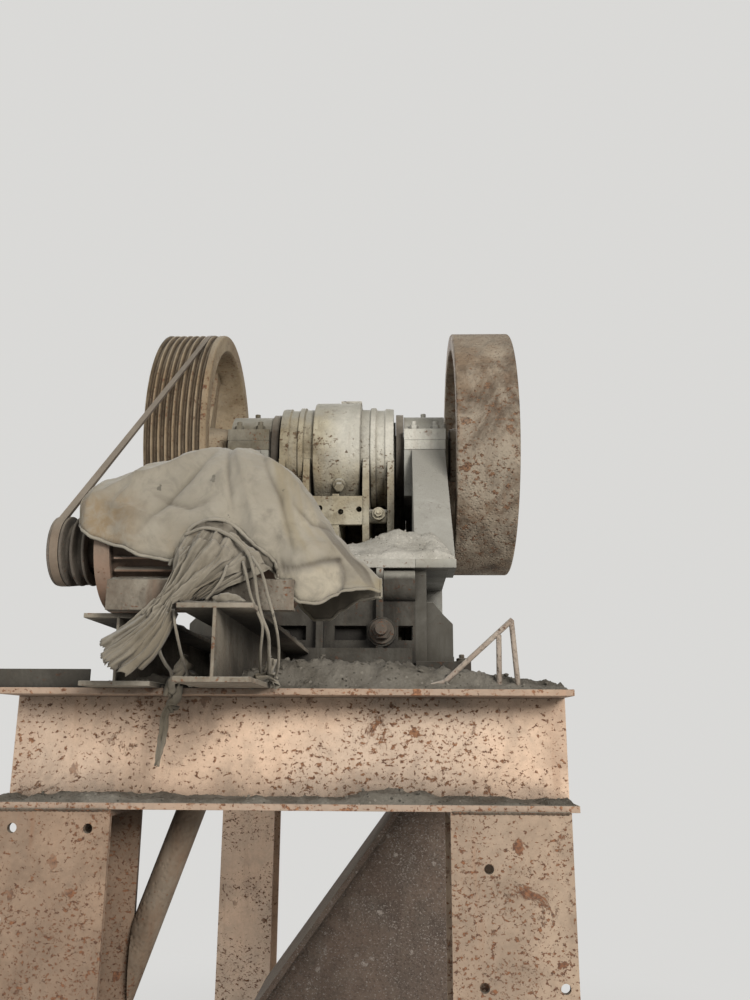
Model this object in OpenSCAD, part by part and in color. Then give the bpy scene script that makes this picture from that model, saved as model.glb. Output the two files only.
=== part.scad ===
// Single toggle jaw crusher on a tall welded stand of H sections, seen from its toggle side.
// X runs along the eccentric shaft, Y from the toggle side to the feed side, Z is up.
// The origin is on the ground, in the middle of the stand.

/* [Stand] */
// Height of the H section of the beams
beam_h = 250; // [200:10:300]
// Width of the flanges of the beams and columns
beam_w = 250; // [200:10:300]
// Thickness of the flanges of the beams and columns
flange_t = 14; // [8:1:22]
// Thickness of the webs of the beams and columns
web_t = 9; // [6:1:16]
// Distance between the column centres across the crusher
stand_w = 960; // [900:10:1200]
// Distance between the column centres along the crusher
stand_d = 2600; // [2500:20:3200]
// Height of the columns between base plate and beam
column_h = 1305; // [600:15:2400]
// Overhang of the beam ends past the column flanges
beam_over = 18; // [0:2:80]
// Side of the square base plates
foot_w = 400; // [340:10:500]
// Thickness of the base plates
foot_t = 25; // [12:1:40]
// Diameter of the anchor bolt holes
anchor_d = 28; // [18:1:40]
// Distance from an anchor hole to the edge of its plate
anchor_edge = 45; // [35:1:60]
// Diameter of the spare bolt holes in the front columns
spare_d = 20; // [10:1:26]

/* [Crusher frame] */
// Clear width between the side walls
chamber_w = 600; // [560:10:700]
// Thickness of the side walls
side_t = 36; // [20:1:50]
// Reach of the stiffening rims outside the side walls
rim_out = 94; // [60:1:110]
// Thickness of the stiffening rims
rim_t = 30; // [15:1:45]
// Height of the shaft axis over the base of the crusher
axis_h = 950; // [900:10:1100]
// Distance of the shaft axis behind the middle of the stand
shaft_y = 220; // [150:5:260]
// Distance from the shaft axis to the outer face of the rear wall
rear_y = 765; // [700:5:800]
// Distance from the shaft axis to the inner face of the front wall
front_y = 775; // [755:5:820]
// Height of the rear wall over the base
rear_h = 360; // [320:5:420]
// Thickness of the rear wall
rear_t = 45; // [25:1:60]
// Thickness of the front wall
front_t = 50; // [30:1:70]
// Height of the packing rails under the crusher
rail_h = 80; // [60:5:140]

/* [Bearings] */
// Radius of the shaft in its frame bearings
journal_r = 75; // [60:1:85]
// Half length of a bearing housing along Y at its foot
housing_l = 215; // [200:1:240]
// Width of a bearing housing along the shaft
housing_w = 165; // [140:1:170]
// Radius of the domed bearing cap
cap_r = 160; // [140:1:175]
// Radial running clearance of the shaft
run_gap = 0.05; // [0.02:0.01:0.1]

/* [Wheels] */
// Outer radius of the flywheel and the sheave
wheel_r = 500; // [450:5:540]
// Width of the flywheel and the sheave
wheel_w = 232; // [225:1:250]
// Distance from the side walls to the wheels
wheel_gap = 124; // [119:1:144]
// Radial thickness of the wheel rims
wheel_rim = 68; // [50:1:90]
// Radius of the wheel hubs
hub_r = 120; // [100:1:140]
// Radius of the shaft ends in the wheels
end_r = 60; // [45:1:65]
// Number of belt grooves of the sheave
groove_n = 8; // [4:1:8]
// Distance between neighbouring grooves
groove_pitch = 26; // [24:0.5:27]
// Width of a groove at the rim
groove_w = 20; // [16:0.5:21]
// Depth of a groove
groove_d = 17; // [15:0.5:22]

/* [Pitman and jaws] */
// Throw of the eccentric
throw = 12; // [6:1:14]
// Radius of the middle band of the pitman barrel
barrel_r = 230; // [215:1:240]
// Half length of the pitman barrel
barrel_l = 235; // [225:1:240]
// Radius of the eccentric part of the shaft
ecc_r = 95; // [92:1:105]
// Distance from the side walls to the jaw plates
jaw_gap = 30; // [26:1:50]
// Thickness of the jaw plates over their teeth
jaw_t = 60; // [50:1:75]
// Number of teeth on a jaw plate
tooth_n = 9; // [6:1:12]
// Height of the teeth
tooth_h = 22; // [10:1:28]
// Clear width of the feed opening between the jaws
gape = 400; // [360:5:420]
// Clear width of the discharge opening between the jaws
setting = 70; // [50:5:100]

/* [Motor] */
// Height of the motor shaft over the motor feet
motor_h = 160; // [155:1:180]
// Radius of the finned motor body over its fins
motor_r = 140; // [120:1:145]
// Radius of the motor pulley
pulley_r = 80; // [72:1:95]
// Number of grooves of the motor pulley
pulley_n = 3; // [2:1:3]
// Height and width of the H section of the motor beams
carrier_h = 150; // [125:5:175]
// Distance of the motor axis behind the front face of the stand
motor_y = 55; // [50:1:80]
// Diameter of the motor shaft end
motor_shaft_d = 42; // [32:1:48]

/* [Chute] */
// Thickness of the chute plates
chute_t = 10; // [6:1:16]
// Length of the chute opening along Y at its top
chute_l = 620; // [560:10:700]

/* [Hidden] */
$fn = 96;
eps = 0.01;
seat_gap = 0.3;

stand_top = foot_t + column_h + beam_h;
front_y0 = -stand_d / 2 - beam_h / 2;
base_z = stand_top + rail_h;
axis_z = base_z + axis_h;
axis_y = shaft_y;

// Colours as they show under the dust
paint = [0.72, 0.6, 0.5];
grey = [0.58, 0.57, 0.52];
dusty = [0.55, 0.53, 0.48];
rust = [0.38, 0.28, 0.22];
steel = [0.45, 0.43, 0.4];
cloth = [0.62, 0.6, 0.53];

// Extrudes a profile drawn in the plane of Y and Z from x0 to x1
module along_x(x0, x1) {
    translate([x0, 0, 0]) rotate([90, 0, 90]) linear_extrude(x1 - x0) children();
}

// Stands a shape that was turned about Z on the shaft axis direction
module on_x(x, y, z) {
    translate([x, y, z]) rotate([90, 0, 90]) children();
}

// H section with its web upright, w wide and h high, centred
module h_profile(h, w, tw, tf) {
    for (s = [-1, 1]) translate([0, s * (h - tf) / 2]) square([w, tf], center = true);
    square([tw, h - 2 * tf + eps], center = true);
}

module mirrored_x() {
    children();
    mirror([1, 0, 0]) children();
}

// Flat bar of thickness t between two points of a profile
module bar2d(p, q, t) {
    d = [q[0] - p[0], q[1] - p[1]];
    len = norm(d);
    translate(p) rotate(atan2(d[1], d[0])) translate([-t / 2, -t / 2]) square([len + t, t]);
}

// Band of thickness t along the inside of an outline
module rim2d(points, t) {
    intersection() {
        polygon(points);
        union() {
            for (i = [0 : len(points) - 1]) bar2d(points[i], points[(i + 1) % len(points)], 2 * t);
        }
    }
}

// Stand
col_x = stand_w / 2;
col_y = stand_d / 2;
hole_in = foot_w / 2 - anchor_edge;

module column() {
    color(paint) {
        difference() {
            translate([-foot_w / 2, -foot_w / 2, 0]) cube([foot_w, foot_w, foot_t]);
            for (x = [-hole_in, hole_in], y = [-hole_in, hole_in])
                translate([x, y, -1]) cylinder(d = anchor_d, h = foot_t + 2, $fn = 48);
        }
        translate([0, 0, foot_t - eps]) linear_extrude(column_h + eps)
            h_profile(beam_h, beam_w, web_t, flange_t);
        for (x = [-1, 1]) translate([x * (beam_w / 4 + web_t / 4), 0, foot_t + column_h - flange_t / 2])
            cube([beam_w / 2 - web_t / 2, beam_h - 2 * flange_t + eps, flange_t], center = true);
    }
}

// Spare holes that the old section brought along, in the flange that faces the front
module spare_holes(spots) {
    for (p = spots) translate([p[0], -beam_h / 2 - 1, stand_top - beam_h - p[1]])
        rotate([-90, 0, 0]) cylinder(d = spare_d, h = flange_t + 2, $fn = 32);
}

module column_front_left() {
    translate([-col_x, -col_y, 0]) difference() {
        column();
        spare_holes([[-80, 38], [80, 38], [-95, 215]]);
    }
}
module column_front_right() {
    translate([col_x, -col_y, 0]) difference() {
        column();
        spare_holes([[-48, 110], [-62, 330], [98, 330]]);
    }
}
module column_rear_left() { translate([-col_x, col_y, 0]) column(); }
module column_rear_right() { translate([col_x, col_y, 0]) column(); }

beam_l = stand_w + beam_w + 2 * beam_over;
beam_mid_z = stand_top - beam_h / 2;

module end_beam() {
    color(paint) {
        translate([0, -col_y, beam_mid_z]) along_x(-beam_l / 2, beam_l / 2)
            h_profile(beam_h, beam_w, web_t, flange_t);
        for (x = [-col_x, col_x]) translate([x, -col_y + beam_w / 4 + web_t / 4, beam_mid_z])
            cube([web_t, beam_w / 2 - web_t / 2, beam_h - 2 * flange_t + eps], center = true);
    }
}
module front_beam() { end_beam(); }
module rear_beam() { mirror([0, 1, 0]) end_beam(); }

side_beam_l = stand_d - beam_w;
module side_beams() {
    color(paint) for (x = [-col_x, col_x]) translate([x, 0, beam_mid_z]) {
        rotate([90, 0, 0]) translate([0, 0, -side_beam_l / 2]) linear_extrude(side_beam_l)
            h_profile(beam_h, beam_w, web_t, flange_t);
    }
}

rail_y0 = axis_y - rear_y - 40;
cross_y = rail_y0 - 10;
cross_l = stand_w - beam_w;
module cross_beams() {
    color(paint) translate([0, cross_y, beam_mid_z]) along_x(-cross_l / 2, cross_l / 2)
        h_profile(beam_h, beam_w, web_t, flange_t);
}

rail_w = 120;
rail_x = chamber_w / 2 + side_t + rail_w / 2 - 6;
rail_y1 = stand_d / 2 + beam_w / 2;
module packing_rails() {
    color(rust) for (s = [-1, 1]) translate([s * rail_x, rail_y1, stand_top + rail_h / 2])
        rotate([90, 0, 0]) linear_extrude(rail_y1 - rail_y0) h_profile(rail_h, rail_w, 12, 12);
}

// Crusher frame
base_t = 40;
base_out = 470;
rear_face = axis_y - rear_y;
front_in = axis_y + front_y;
front_face = front_in + front_t;
deck_z = axis_z + 40;
seat_z = axis_z - 40;
wall_x = chamber_w / 2;
housing_x = wall_x - 31;
wheel_x = wall_x + side_t + wheel_gap;
jaw_w = chamber_w - 2 * jaw_gap;
shelf_t = 28;
shelf_out = 40;
rib_t = 25;
side_pts = [
    [rear_face, base_z + base_t],
    [rear_face, base_z + rear_h],
    [axis_y - housing_l, seat_z],
    [axis_y + housing_l, seat_z],
    [axis_y + housing_l + 30, deck_z],
    [front_face, deck_z],
    [front_face, base_z + base_t]
];

module base_flanges() {
    color(dusty) for (s = [-1, 1]) translate([s < 0 ? -base_out : wall_x, rail_y0, base_z])
        cube([base_out - wall_x, front_face + 40 - rail_y0, base_t]);
}

module side_wall() {
    color(grey) difference() {
        union() {
            along_x(wall_x, wall_x + side_t) polygon(side_pts);
            // Stiffening rim, which ends on the shelf at the rear
            along_x(wall_x, wall_x + side_t + rim_out) difference() {
                rim2d(side_pts, rim_t);
                translate([rear_face - 1, base_z + base_t - 1]) square([160, rear_h - base_t - shelf_t + 1]);
            }
            translate([wall_x, rear_face - shelf_out, base_z + rear_h - shelf_t])
                cube([side_t + rim_out, 200, shelf_t]);
            // Upright ribs and one long rib across them
            along_x(wall_x, wall_x + side_t + rim_out - 24) intersection() {
                polygon(side_pts);
                union() {
                    for (y = [axis_y - 330, axis_y - 90, axis_y + 90, axis_y + 420])
                        translate([y - rib_t / 2, base_z]) square([rib_t, axis_h + 40]);
                    translate([rear_face, base_z + rear_h - rim_t]) square([front_face - rear_face, rib_t]);
                }
            }
            // Cradle under the bearing housing
            along_x(housing_x, housing_x + housing_w) intersection() {
                polygon(side_pts);
                translate([axis_y - housing_l, axis_z - 230]) square([2 * housing_l, 230]);
            }
            // Gusset at the rear foot
            translate([wall_x + side_t - 1, rear_face + 12 + rib_t, base_z + base_t]) rotate([90, 0, 0])
                linear_extrude(rib_t) polygon([
                    [0, 0], [rim_out - 10, 0], [rim_out - 10, 120], [rim_out - 40, 150], [22, 190], [0, 190]
                ]);
        }
        on_x(housing_x - 1, axis_y, axis_z) cylinder(r = cap_r, h = housing_w + 2);
    }
}
module side_wall_right() { side_wall(); }
module side_wall_left() { mirror([1, 0, 0]) side_wall(); }

rod_x = 195;
rod_r = 18;
rod_z = base_z + 130;
slot_h = 46;
module rear_wall() {
    color(grey) difference() {
        union() {
            translate([-wall_x, rear_face, base_z]) cube([chamber_w, rear_t, rear_h]);
            // Top flange that the dust lies on
            translate([-wall_x, rear_face - shelf_out, base_z + rear_h - shelf_t]) cube([chamber_w, 200, shelf_t]);
            // Foot across the whole back
            translate([-wall_x + 10.5, rear_face - shelf_out, base_z]) cube([chamber_w - 21, rear_t + shelf_out, 80]);
            // Ribs between foot and flange
            for (x = [-188, 0, 188]) translate([x - 11, rear_face - shelf_out + 4, base_z + 70])
                cube([22, shelf_out, rear_h - 80]);
            // Bosses that the washers of the tension rods press on
            for (s = [-1, 1]) translate([s * rod_x, rear_face - 40, rod_z]) rotate([-90, 0, 0])
                cylinder(r = 45, h = 41);
            // Rounded casing of the toggle seat
            for (s = [-1, 1]) translate([s > 0 ? 200 : -wall_x + 0.5, 0, 0])
                along_x(0, wall_x - 200.5) translate([rear_face + 6, base_z + 280]) circle(r = 50);
        }
        for (s = [-1, 1]) {
            translate([s * rod_x, rear_face - 41, rod_z]) rotate([-90, 0, 0]) cylinder(r = rod_r + 4, h = rear_t + 42);
            for (p = [[45, 146], [246, 292]])
                translate([s > 0 ? p[0] : -p[1], rear_face - 1, rod_z - slot_h / 2])
                    cube([p[1] - p[0], rear_t + 2, slot_h]);
        }
    }
}

module front_wall() {
    color(grey) {
        translate([-wall_x, front_in, base_z]) cube([chamber_w, front_t, deck_z - base_z]);
        translate([-wall_x, front_face - eps, deck_z - 30]) cube([chamber_w, 80, 30]);
        for (f = [0, 0.3, 0.63]) translate([-wall_x, front_face - eps, base_z + f * (deck_z - base_z)])
            cube([chamber_w, 70, rib_t]);
        for (x = [-chamber_w / 3, 0, chamber_w / 3]) translate([x - rib_t / 2, front_face - eps, base_z])
            cube([rib_t, 66, deck_z - base_z - 20]);
    }
}

cheek_t = 20;
jaw_lo = base_z + 40;
jaw_hi = deck_z - 25;
module cheek_plates() {
    color(steel) mirrored_x() along_x(wall_x - cheek_t, wall_x - seat_gap) polygon([
        [axis_y + housing_l + 45, deck_z - 30],
        [front_in - seat_gap, deck_z - 30],
        [front_in - seat_gap, jaw_lo],
        [front_in - 190, jaw_lo]
    ]);
}

// Wavy plate profile in X and Y: flat back at y = 0, teeth towards -Y
function tooth_pts(w, n, base, h) = [
    for (i = [0 : 2 * n]) [-w / 2 + i * w / (2 * n), -(base + (i % 2 == 1 ? h : 0))]
];
module jaw_profile() {
    polygon(concat([[jaw_w / 2, 0]], [[-jaw_w / 2, 0]], tooth_pts(jaw_w, tooth_n, jaw_t - tooth_h, tooth_h)));
}

module fixed_jaw() {
    color(steel) translate([0, front_in - seat_gap, jaw_lo]) linear_extrude(jaw_hi - jaw_lo) jaw_profile();
}

// Bearings
module housing_profile(low) {
    difference() {
        union() {
            circle(r = cap_r - seat_gap);
            translate([-housing_l, low ? -40 + seat_gap : 0]) square([2 * housing_l, low ? 40 : 46]);
        }
        translate([-housing_l - eps, low ? 0 : -housing_l]) square([2 * (housing_l + eps), housing_l]);
        circle(r = journal_r + run_gap);
    }
}
module bearing_housings() {
    color(dusty) mirrored_x() on_x(housing_x, axis_y, axis_z) linear_extrude(housing_w) housing_profile(true);
}
stud_y = housing_l - 32;
module bearing_caps() {
    color(dusty) mirrored_x() {
        difference() {
            on_x(housing_x, axis_y, axis_z + seat_gap) linear_extrude(housing_w) housing_profile(false);
            on_x(housing_x - 1, axis_y, axis_z) cylinder(r = journal_r + run_gap, h = housing_w + 2);
        }
        for (x = [40, housing_w - 40], y = [-stud_y, stud_y])
            translate([housing_x + x, axis_y + y, axis_z + 46]) {
                cylinder(r = 19, h = 22, $fn = 6);
                cylinder(r = 10, h = 40, $fn = 24);
            }
        translate([housing_x + housing_w / 2, axis_y, axis_z + cap_r - 4]) cylinder(r = 11, h = 26, $fn = 24);
    }
}
cover_t = 16;
module bearing_covers() {
    color(rust) mirrored_x() on_x(housing_x + housing_w + seat_gap, axis_y, axis_z) difference() {
        union() {
            cylinder(r = 132, h = cover_t * 0.6);
            cylinder(r = 104, h = cover_t);
        }
        translate([0, 0, -1]) cylinder(r = journal_r + 6, h = cover_t + 2);
    }
}

// Pitman, which hangs on the eccentric
pit_z = axis_z - throw;
body_x = jaw_w / 2 - 12;
bed_t = 52;
gap_y = front_in - jaw_t;
swing_top = [gap_y - gape + jaw_t, jaw_hi];
swing_bot = [gap_y - setting + jaw_t, jaw_lo];
swing_a = atan2(swing_bot[0] - swing_top[0], swing_top[1] - swing_bot[1]);
swing_l = norm([swing_bot[0] - swing_top[0], swing_top[1] - swing_bot[1]]);
back_off = 2 * jaw_t;
// Points on the back of the swing jaw plate, and the bed behind them
bed_hi = [swing_top[0] - back_off, swing_top[1]];
bed_lo = [swing_bot[0] - back_off, swing_bot[1]];
seat_y = axis_y + 75;
seat_hi = base_z + 200;
seat_lo = base_z + 85;

module barrel() {
    on_x(0, axis_y, pit_z) rotate_extrude() polygon([
        [ecc_r + run_gap, -barrel_l],
        [150, -barrel_l],
        [150, -barrel_l + 8],
        [205, -barrel_l + 8],
        [207, -barrel_l + 40],
        [200, -barrel_l + 46],
        [200, -160],
        [211, -154],
        [211, -136],
        [203, -130],
        [203, -98],
        [barrel_r - 3, -92],
        [barrel_r, -86],
        [barrel_r, 86],
        [barrel_r - 3, 92],
        [203, 98],
        [203, 130],
        [211, 136],
        [211, 154],
        [200, 160],
        [200, barrel_l - 46],
        [207, barrel_l - 40],
        [205, barrel_l - 8],
        [150, barrel_l - 8],
        [150, barrel_l],
        [ecc_r + run_gap, barrel_l]
    ]);
}

rib_near = 118;
rib_far = 216;
module rib_outline() {
    polygon([
        [axis_y + 150, pit_z - 60],
        [axis_y - 196, pit_z - 60],
        [axis_y - 208, pit_z - 150],
        [axis_y - 176, pit_z - 340],
        [seat_y, seat_hi],
        [seat_y, seat_lo],
        [bed_lo[0] - 40, bed_lo[1] + 30],
        [bed_hi[0] - 20, bed_hi[1] - 60]
    ]);
}

module pitman() {
    color(grey) difference() {
        union() {
            barrel();
            // Bed that carries the swing jaw plate
            along_x(-body_x, body_x) polygon([
                bed_hi,
                [bed_hi[0] - 46, bed_hi[1]],
                [bed_lo[0] - bed_t, bed_lo[1] + 60],
                [bed_lo[0] - bed_t, bed_lo[1]],
                bed_lo
            ]);
            // Ribs from the barrel to the toggle seat
            for (x = [-rib_far, -rib_near, rib_near, rib_far]) along_x(x - 13, x + 13) rib_outline();
            along_x(-13, 13) intersection() {
                rib_outline();
                translate([axis_y - 300, seat_lo]) square([700, pit_z - 205 - seat_lo]);
            }
            // Plate across the ribs behind the barrel
            along_x(-rib_near, rib_near - 13) polygon([
                [axis_y - 203, pit_z - 215],
                [axis_y - 183, pit_z - 325],
                [axis_y - 158, pit_z - 325],
                [axis_y - 178, pit_z - 215]
            ]);
            // Toggle seat
            along_x(-body_x, body_x) polygon([
                [seat_y, seat_hi],
                [seat_y, seat_lo],
                [bed_lo[0] - 30, bed_lo[1]],
                [bed_lo[0] - 30, bed_lo[1] + 70],
                [seat_y + 130, seat_hi + 10]
            ]);
            // Lug and boss on the barrel
            translate([50, axis_y - 20, pit_z + barrel_r - 10]) cube([86, 60, 34], center = true);
            translate([12, axis_y, pit_z]) rotate([133, 0, 0]) {
                cylinder(r = 26, h = barrel_r + 14);
                cylinder(r = 19, h = barrel_r + 32, $fn = 6);
            }
            // Round tie between the ribs with a boss for a grease pipe
            along_x(rib_near, rib_far) translate([axis_y - 150, pit_z - 285]) circle(r = 28);
            translate([(rib_near + rib_far) / 2 + 2, axis_y - 150, pit_z - 285]) rotate([90, 0, 0]) cylinder(r = 25, h = 52);
        }
        on_x(-barrel_l - 1, axis_y, pit_z) cylinder(r = ecc_r + run_gap, h = 2 * barrel_l + 2);
        // Room for the labyrinth rings
        for (s = [-1, 1]) on_x(s * (barrel_l + 15) - 15, axis_y, pit_z) cylinder(r = ring_r + 2 * throw + 8, h = 30);
        // Groove that the end of the toggle plate points into
        on_x(-body_x - 1, seat_y - 4, (seat_hi + seat_lo) / 2) cylinder(r = 52, h = 2 * body_x + 2);
        for (p = [[-62, 262], [20, 276], [92, 266]])
            translate([p[0], axis_y - 150, pit_z - p[1]]) rotate([90, 0, 0]) cylinder(r = 11, h = 80, $fn = 32);
    }
}

module swing_jaw() {
    color(steel) translate([0, swing_bot[0] - back_off + seat_gap, swing_bot[1]]) rotate([swing_a, 0, 0])
        mirror([0, 1, 0]) linear_extrude(swing_l) jaw_profile();
}

module jaw_wedge() {
    color(rust) along_x(-jaw_w / 2 + 20, jaw_w / 2 - 20) polygon([
        [bed_hi[0] - 22, bed_hi[1] + seat_gap],
        [bed_hi[0], bed_hi[1] + seat_gap],
        [bed_hi[0] + 40 * cos(swing_a), bed_hi[1] + 2 * seat_gap + 40 * sin(swing_a)],
        [bed_hi[0] + 6, bed_hi[1] + 40],
        [bed_hi[0] - 22, bed_hi[1] + 30]
    ]);
}

// Toggle seat of the frame, the toggle plate and the tension rods
block_y0 = rear_face + rear_t;
block_y1 = block_y0 + 190;
toggle_z = (seat_hi + seat_lo) / 2;
toggle_w = 320;
module toggle_block() {
    color(rust) {
        difference() {
            translate([-toggle_w / 2, block_y0, toggle_z - 55]) cube([toggle_w, block_y1 - block_y0, 110]);
            on_x(-toggle_w / 2 - 1, block_y1 + 4, toggle_z) cylinder(r = 22, h = toggle_w + 2);
        }
        translate([-wall_x + seat_gap, block_y0 + 20, toggle_z - 80])
            cube([chamber_w - 2 * seat_gap, block_y1 - block_y0 - 50, 25]);
    }
}
toggle_y0 = block_y1 + 4;
toggle_y1 = seat_y - throw - 14;
module toggle_plate() {
    color(rust) {
        on_x(-toggle_w / 2 + 10, toggle_y0, toggle_z) cylinder(r = 22 - seat_gap, h = toggle_w - 20);
        on_x(-toggle_w / 2 + 10, toggle_y1, toggle_z) cylinder(r = 22, h = toggle_w - 20);
        translate([-toggle_w / 2 + 10, toggle_y0, toggle_z - 16])
            cube([toggle_w - 20, toggle_y1 - toggle_y0, 32]);
    }
}
module tension_rods() {
    color(rust) for (s = [-1, 1]) translate([s * rod_x, rear_face - 40, rod_z]) rotate([-90, 0, 0]) {
        translate([0, 0, -95]) cylinder(r = rod_r, h = seat_y - throw - 20 - rear_face + 135, $fn = 48);
        translate([0, 0, -14 - seat_gap]) cylinder(r = 38, h = 14);
        translate([0, 0, -34 - seat_gap]) cylinder(r = 29, h = 20.5, $fn = 48);
        translate([0, 0, -62 - seat_gap]) cylinder(r = 29, h = 26, $fn = 6);
    }
}

// Eccentric shaft
ring_r = 170;
module eccentric_shaft() {
    color(steel) {
        mirrored_x() {
            // Labyrinth ring between the barrel and the housing
            on_x(barrel_l + 2, axis_y, axis_z) cylinder(r = ring_r, h = housing_x - barrel_l - 4);
            on_x(barrel_l + 10, axis_y, axis_z) cylinder(r = journal_r, h = wheel_x - barrel_l - 14);
            on_x(wheel_x - 6, axis_y, axis_z) cylinder(r = end_r, h = wheel_w + 16);
        }
        on_x(-barrel_l - 2 - eps, axis_y, pit_z) cylinder(r = ecc_r, h = 2 * barrel_l + 4 + 2 * eps);
    }
}

// Wheels: both have a rim, six arms and a long hub
arm_n = 6;
arm_w = 74;
arm_t = 46;
rim_in = wheel_r - wheel_rim;
hub_l = wheel_w + 6;
groove_shift = -8;

// Outline of a wheel rim in radius and distance from its middle plane
module rim_profile(grooved) {
    difference() {
        polygon([
            [rim_in, -wheel_w / 2 + 6],
            [rim_in + 6, -wheel_w / 2],
            [wheel_r - 5, -wheel_w / 2],
            [wheel_r, -wheel_w / 2 + 5],
            [wheel_r, wheel_w / 2 - 5],
            [wheel_r - 5, wheel_w / 2],
            [rim_in + 6, wheel_w / 2],
            [rim_in, wheel_w / 2 - 6],
            [rim_in - 10, arm_t / 2 + 12],
            [rim_in - 10, -arm_t / 2 - 12]
        ]);
        if (grooved) for (i = [0 : groove_n - 1])
            translate([wheel_r, groove_x(i)]) groove_profile();
    }
}
// Place of a groove from the middle plane, counted from the outer side
function groove_x(i) = groove_shift + (i - (groove_n - 1) / 2) * groove_pitch;
groove_slope = tan(19);
module groove_profile() {
    polygon([
        [2, -groove_w / 2 - 2 * groove_slope],
        [2, groove_w / 2 + 2 * groove_slope],
        [-groove_d, groove_w / 2 - groove_d * groove_slope],
        [-groove_d, -groove_w / 2 + groove_d * groove_slope]
    ]);
}

module spider() {
    for (i = [0 : arm_n - 1]) rotate(i * 360 / arm_n + 12)
        translate([0, 0, -arm_t / 2]) linear_extrude(arm_t) polygon([
            [hub_r - 20, -arm_w / 2 - 9],
            [rim_in - 40, -arm_w / 2 + 9],
            [rim_in + 4, -arm_w / 2 - 12],
            [rim_in + 4, arm_w / 2 + 12],
            [rim_in - 40, arm_w / 2 - 9],
            [hub_r - 20, arm_w / 2 + 9]
        ]);
    rotate_extrude() polygon([
        [end_r - 5, -hub_l / 2],
        [hub_r - 14, -hub_l / 2],
        [hub_r - 10, -hub_l / 2 + 5],
        [hub_r, -arm_t / 2 - 8],
        [hub_r, arm_t / 2 + 8],
        [hub_r - 10, hub_l / 2 - 5],
        [hub_r - 14, hub_l / 2],
        [end_r - 5, hub_l / 2]
    ]);
}

module wheel(grooved) {
    difference() {
        union() {
            rotate_extrude($fn = 160) rim_profile(grooved);
            spider();
        }
        cylinder(r = end_r + run_gap / 2, h = wheel_w + 20, center = true);
    }
}
wheel_mid = wheel_x + wheel_w / 2;
module flywheel() {
    color(rust) on_x(wheel_mid, axis_y, axis_z) {
        wheel(false);
        // Balance weight between two arms
        rotate([0, 0, 72]) rotate_extrude(angle = 60) translate([rim_in - 90, 3 - arm_t / 2])
            square([84, arm_t - 6]);
    }
}
module sheave() {
    color(dusty) on_x(-wheel_mid, axis_y, axis_z) wheel(true);
}
module shaft_end_caps() {
    color(rust) mirrored_x() on_x(wheel_x + wheel_w + 10 + seat_gap, axis_y, axis_z) {
        cylinder(r = end_r + 24, h = 12);
        for (a = [30, 150, 270]) rotate(a) translate([end_r - 22, 0, 11.9]) cylinder(r = 12, h = 10, $fn = 6);
    }
}

// Motor and what carries it
belt_i = 6;
plane_x = -wheel_mid + groove_x(belt_i);
motor_ay = front_y0 + motor_y;
motor_az = stand_top + carrier_h + motor_h;
carrier_mid = -105;
carrier_left = -341;
foot_span = 210;
motor_foot = (carrier_mid + carrier_left) / 2;
shoulder_x = motor_foot - foot_span / 2 - 108;

module carrier(x, over) {
    translate([x, front_y0 - over, stand_top + carrier_h / 2]) rotate([-90, 0, 0])
        linear_extrude(rail_y0 - 6 - front_y0 + over) h_profile(carrier_h, carrier_h, 7, 10);
}
module motor_beams() {
    color(dusty) {
        carrier(carrier_mid, 252);
        carrier(carrier_left, 88);
    }
}
channel_h = 63;
channel_y = front_y0 - 142;
module motor_channel() {
    color(dusty) difference() {
        translate([-354, channel_y, stand_top + carrier_h]) cube([388, 36, channel_h]);
        translate([-355, channel_y + 6, stand_top + carrier_h + 7]) cube([390, 40, channel_h - 14]);
    }
}

fin_n = 32;
motor_l = 300;
frame_x = shoulder_x + 60;
shield_x = frame_x + motor_l - 1;
module motor_body() {
    color([0.42, 0.33, 0.27]) {
        on_x(frame_x, motor_ay, motor_az) {
            cylinder(r = motor_r - 22, h = motor_l);
            for (i = [0 : fin_n - 1]) rotate(i * 360 / fin_n + 180 / fin_n)
                translate([motor_r - 24, -2, 12]) cube([24, 4, motor_l - 23]);
        }
        // End shields and the bearing cap on the shaft side
        on_x(shoulder_x + 8, motor_ay, motor_az) {
            translate([0, 0, 20]) cylinder(r = motor_r, h = 34);
            translate([0, 0, 4]) cylinder(r1 = motor_r - 55, r2 = motor_r - 6, h = 16.1);
            cylinder(r = 62, h = 10);
        }
        on_x(shield_x, motor_ay, motor_az) cylinder(r = motor_r - 4, h = 24);
        // Feet
        for (s = [-1, 1], x = [motor_foot - foot_span / 2, motor_foot + foot_span / 2])
            translate([x - 30, motor_ay + (s > 0 ? 62 : -150), stand_top + carrier_h + seat_gap]) {
                cube([60, 88, 18]);
                translate([4, s > 0 ? 6 : 56, 0]) cube([52, 26, 80]);
            }
        // Terminal box
        translate([motor_foot - 12, motor_ay - 62, motor_az + motor_r - 32]) cube([120, 124, 84]);
    }
}
module motor_fan_cover() {
    color([0.42, 0.36, 0.3]) on_x(shield_x + 24 + seat_gap, motor_ay, motor_az) difference() {
        union() {
            cylinder(r = motor_r - 4, h = 58);
            translate([0, 0, 57.9]) cylinder(r1 = motor_r - 4, r2 = motor_r - 22, h = 14);
        }
        translate([0, 0, -1]) cylinder(r = motor_r - 8, h = 60);
        for (i = [0 : 11]) rotate(i * 30) translate([52, -7, 50]) cube([56, 14, 40]);
    }
}

module motor_shaft() {
    color(steel) on_x(shoulder_x - 110, motor_ay, motor_az) cylinder(d = motor_shaft_d, h = 110 + 7.5);
}

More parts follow.
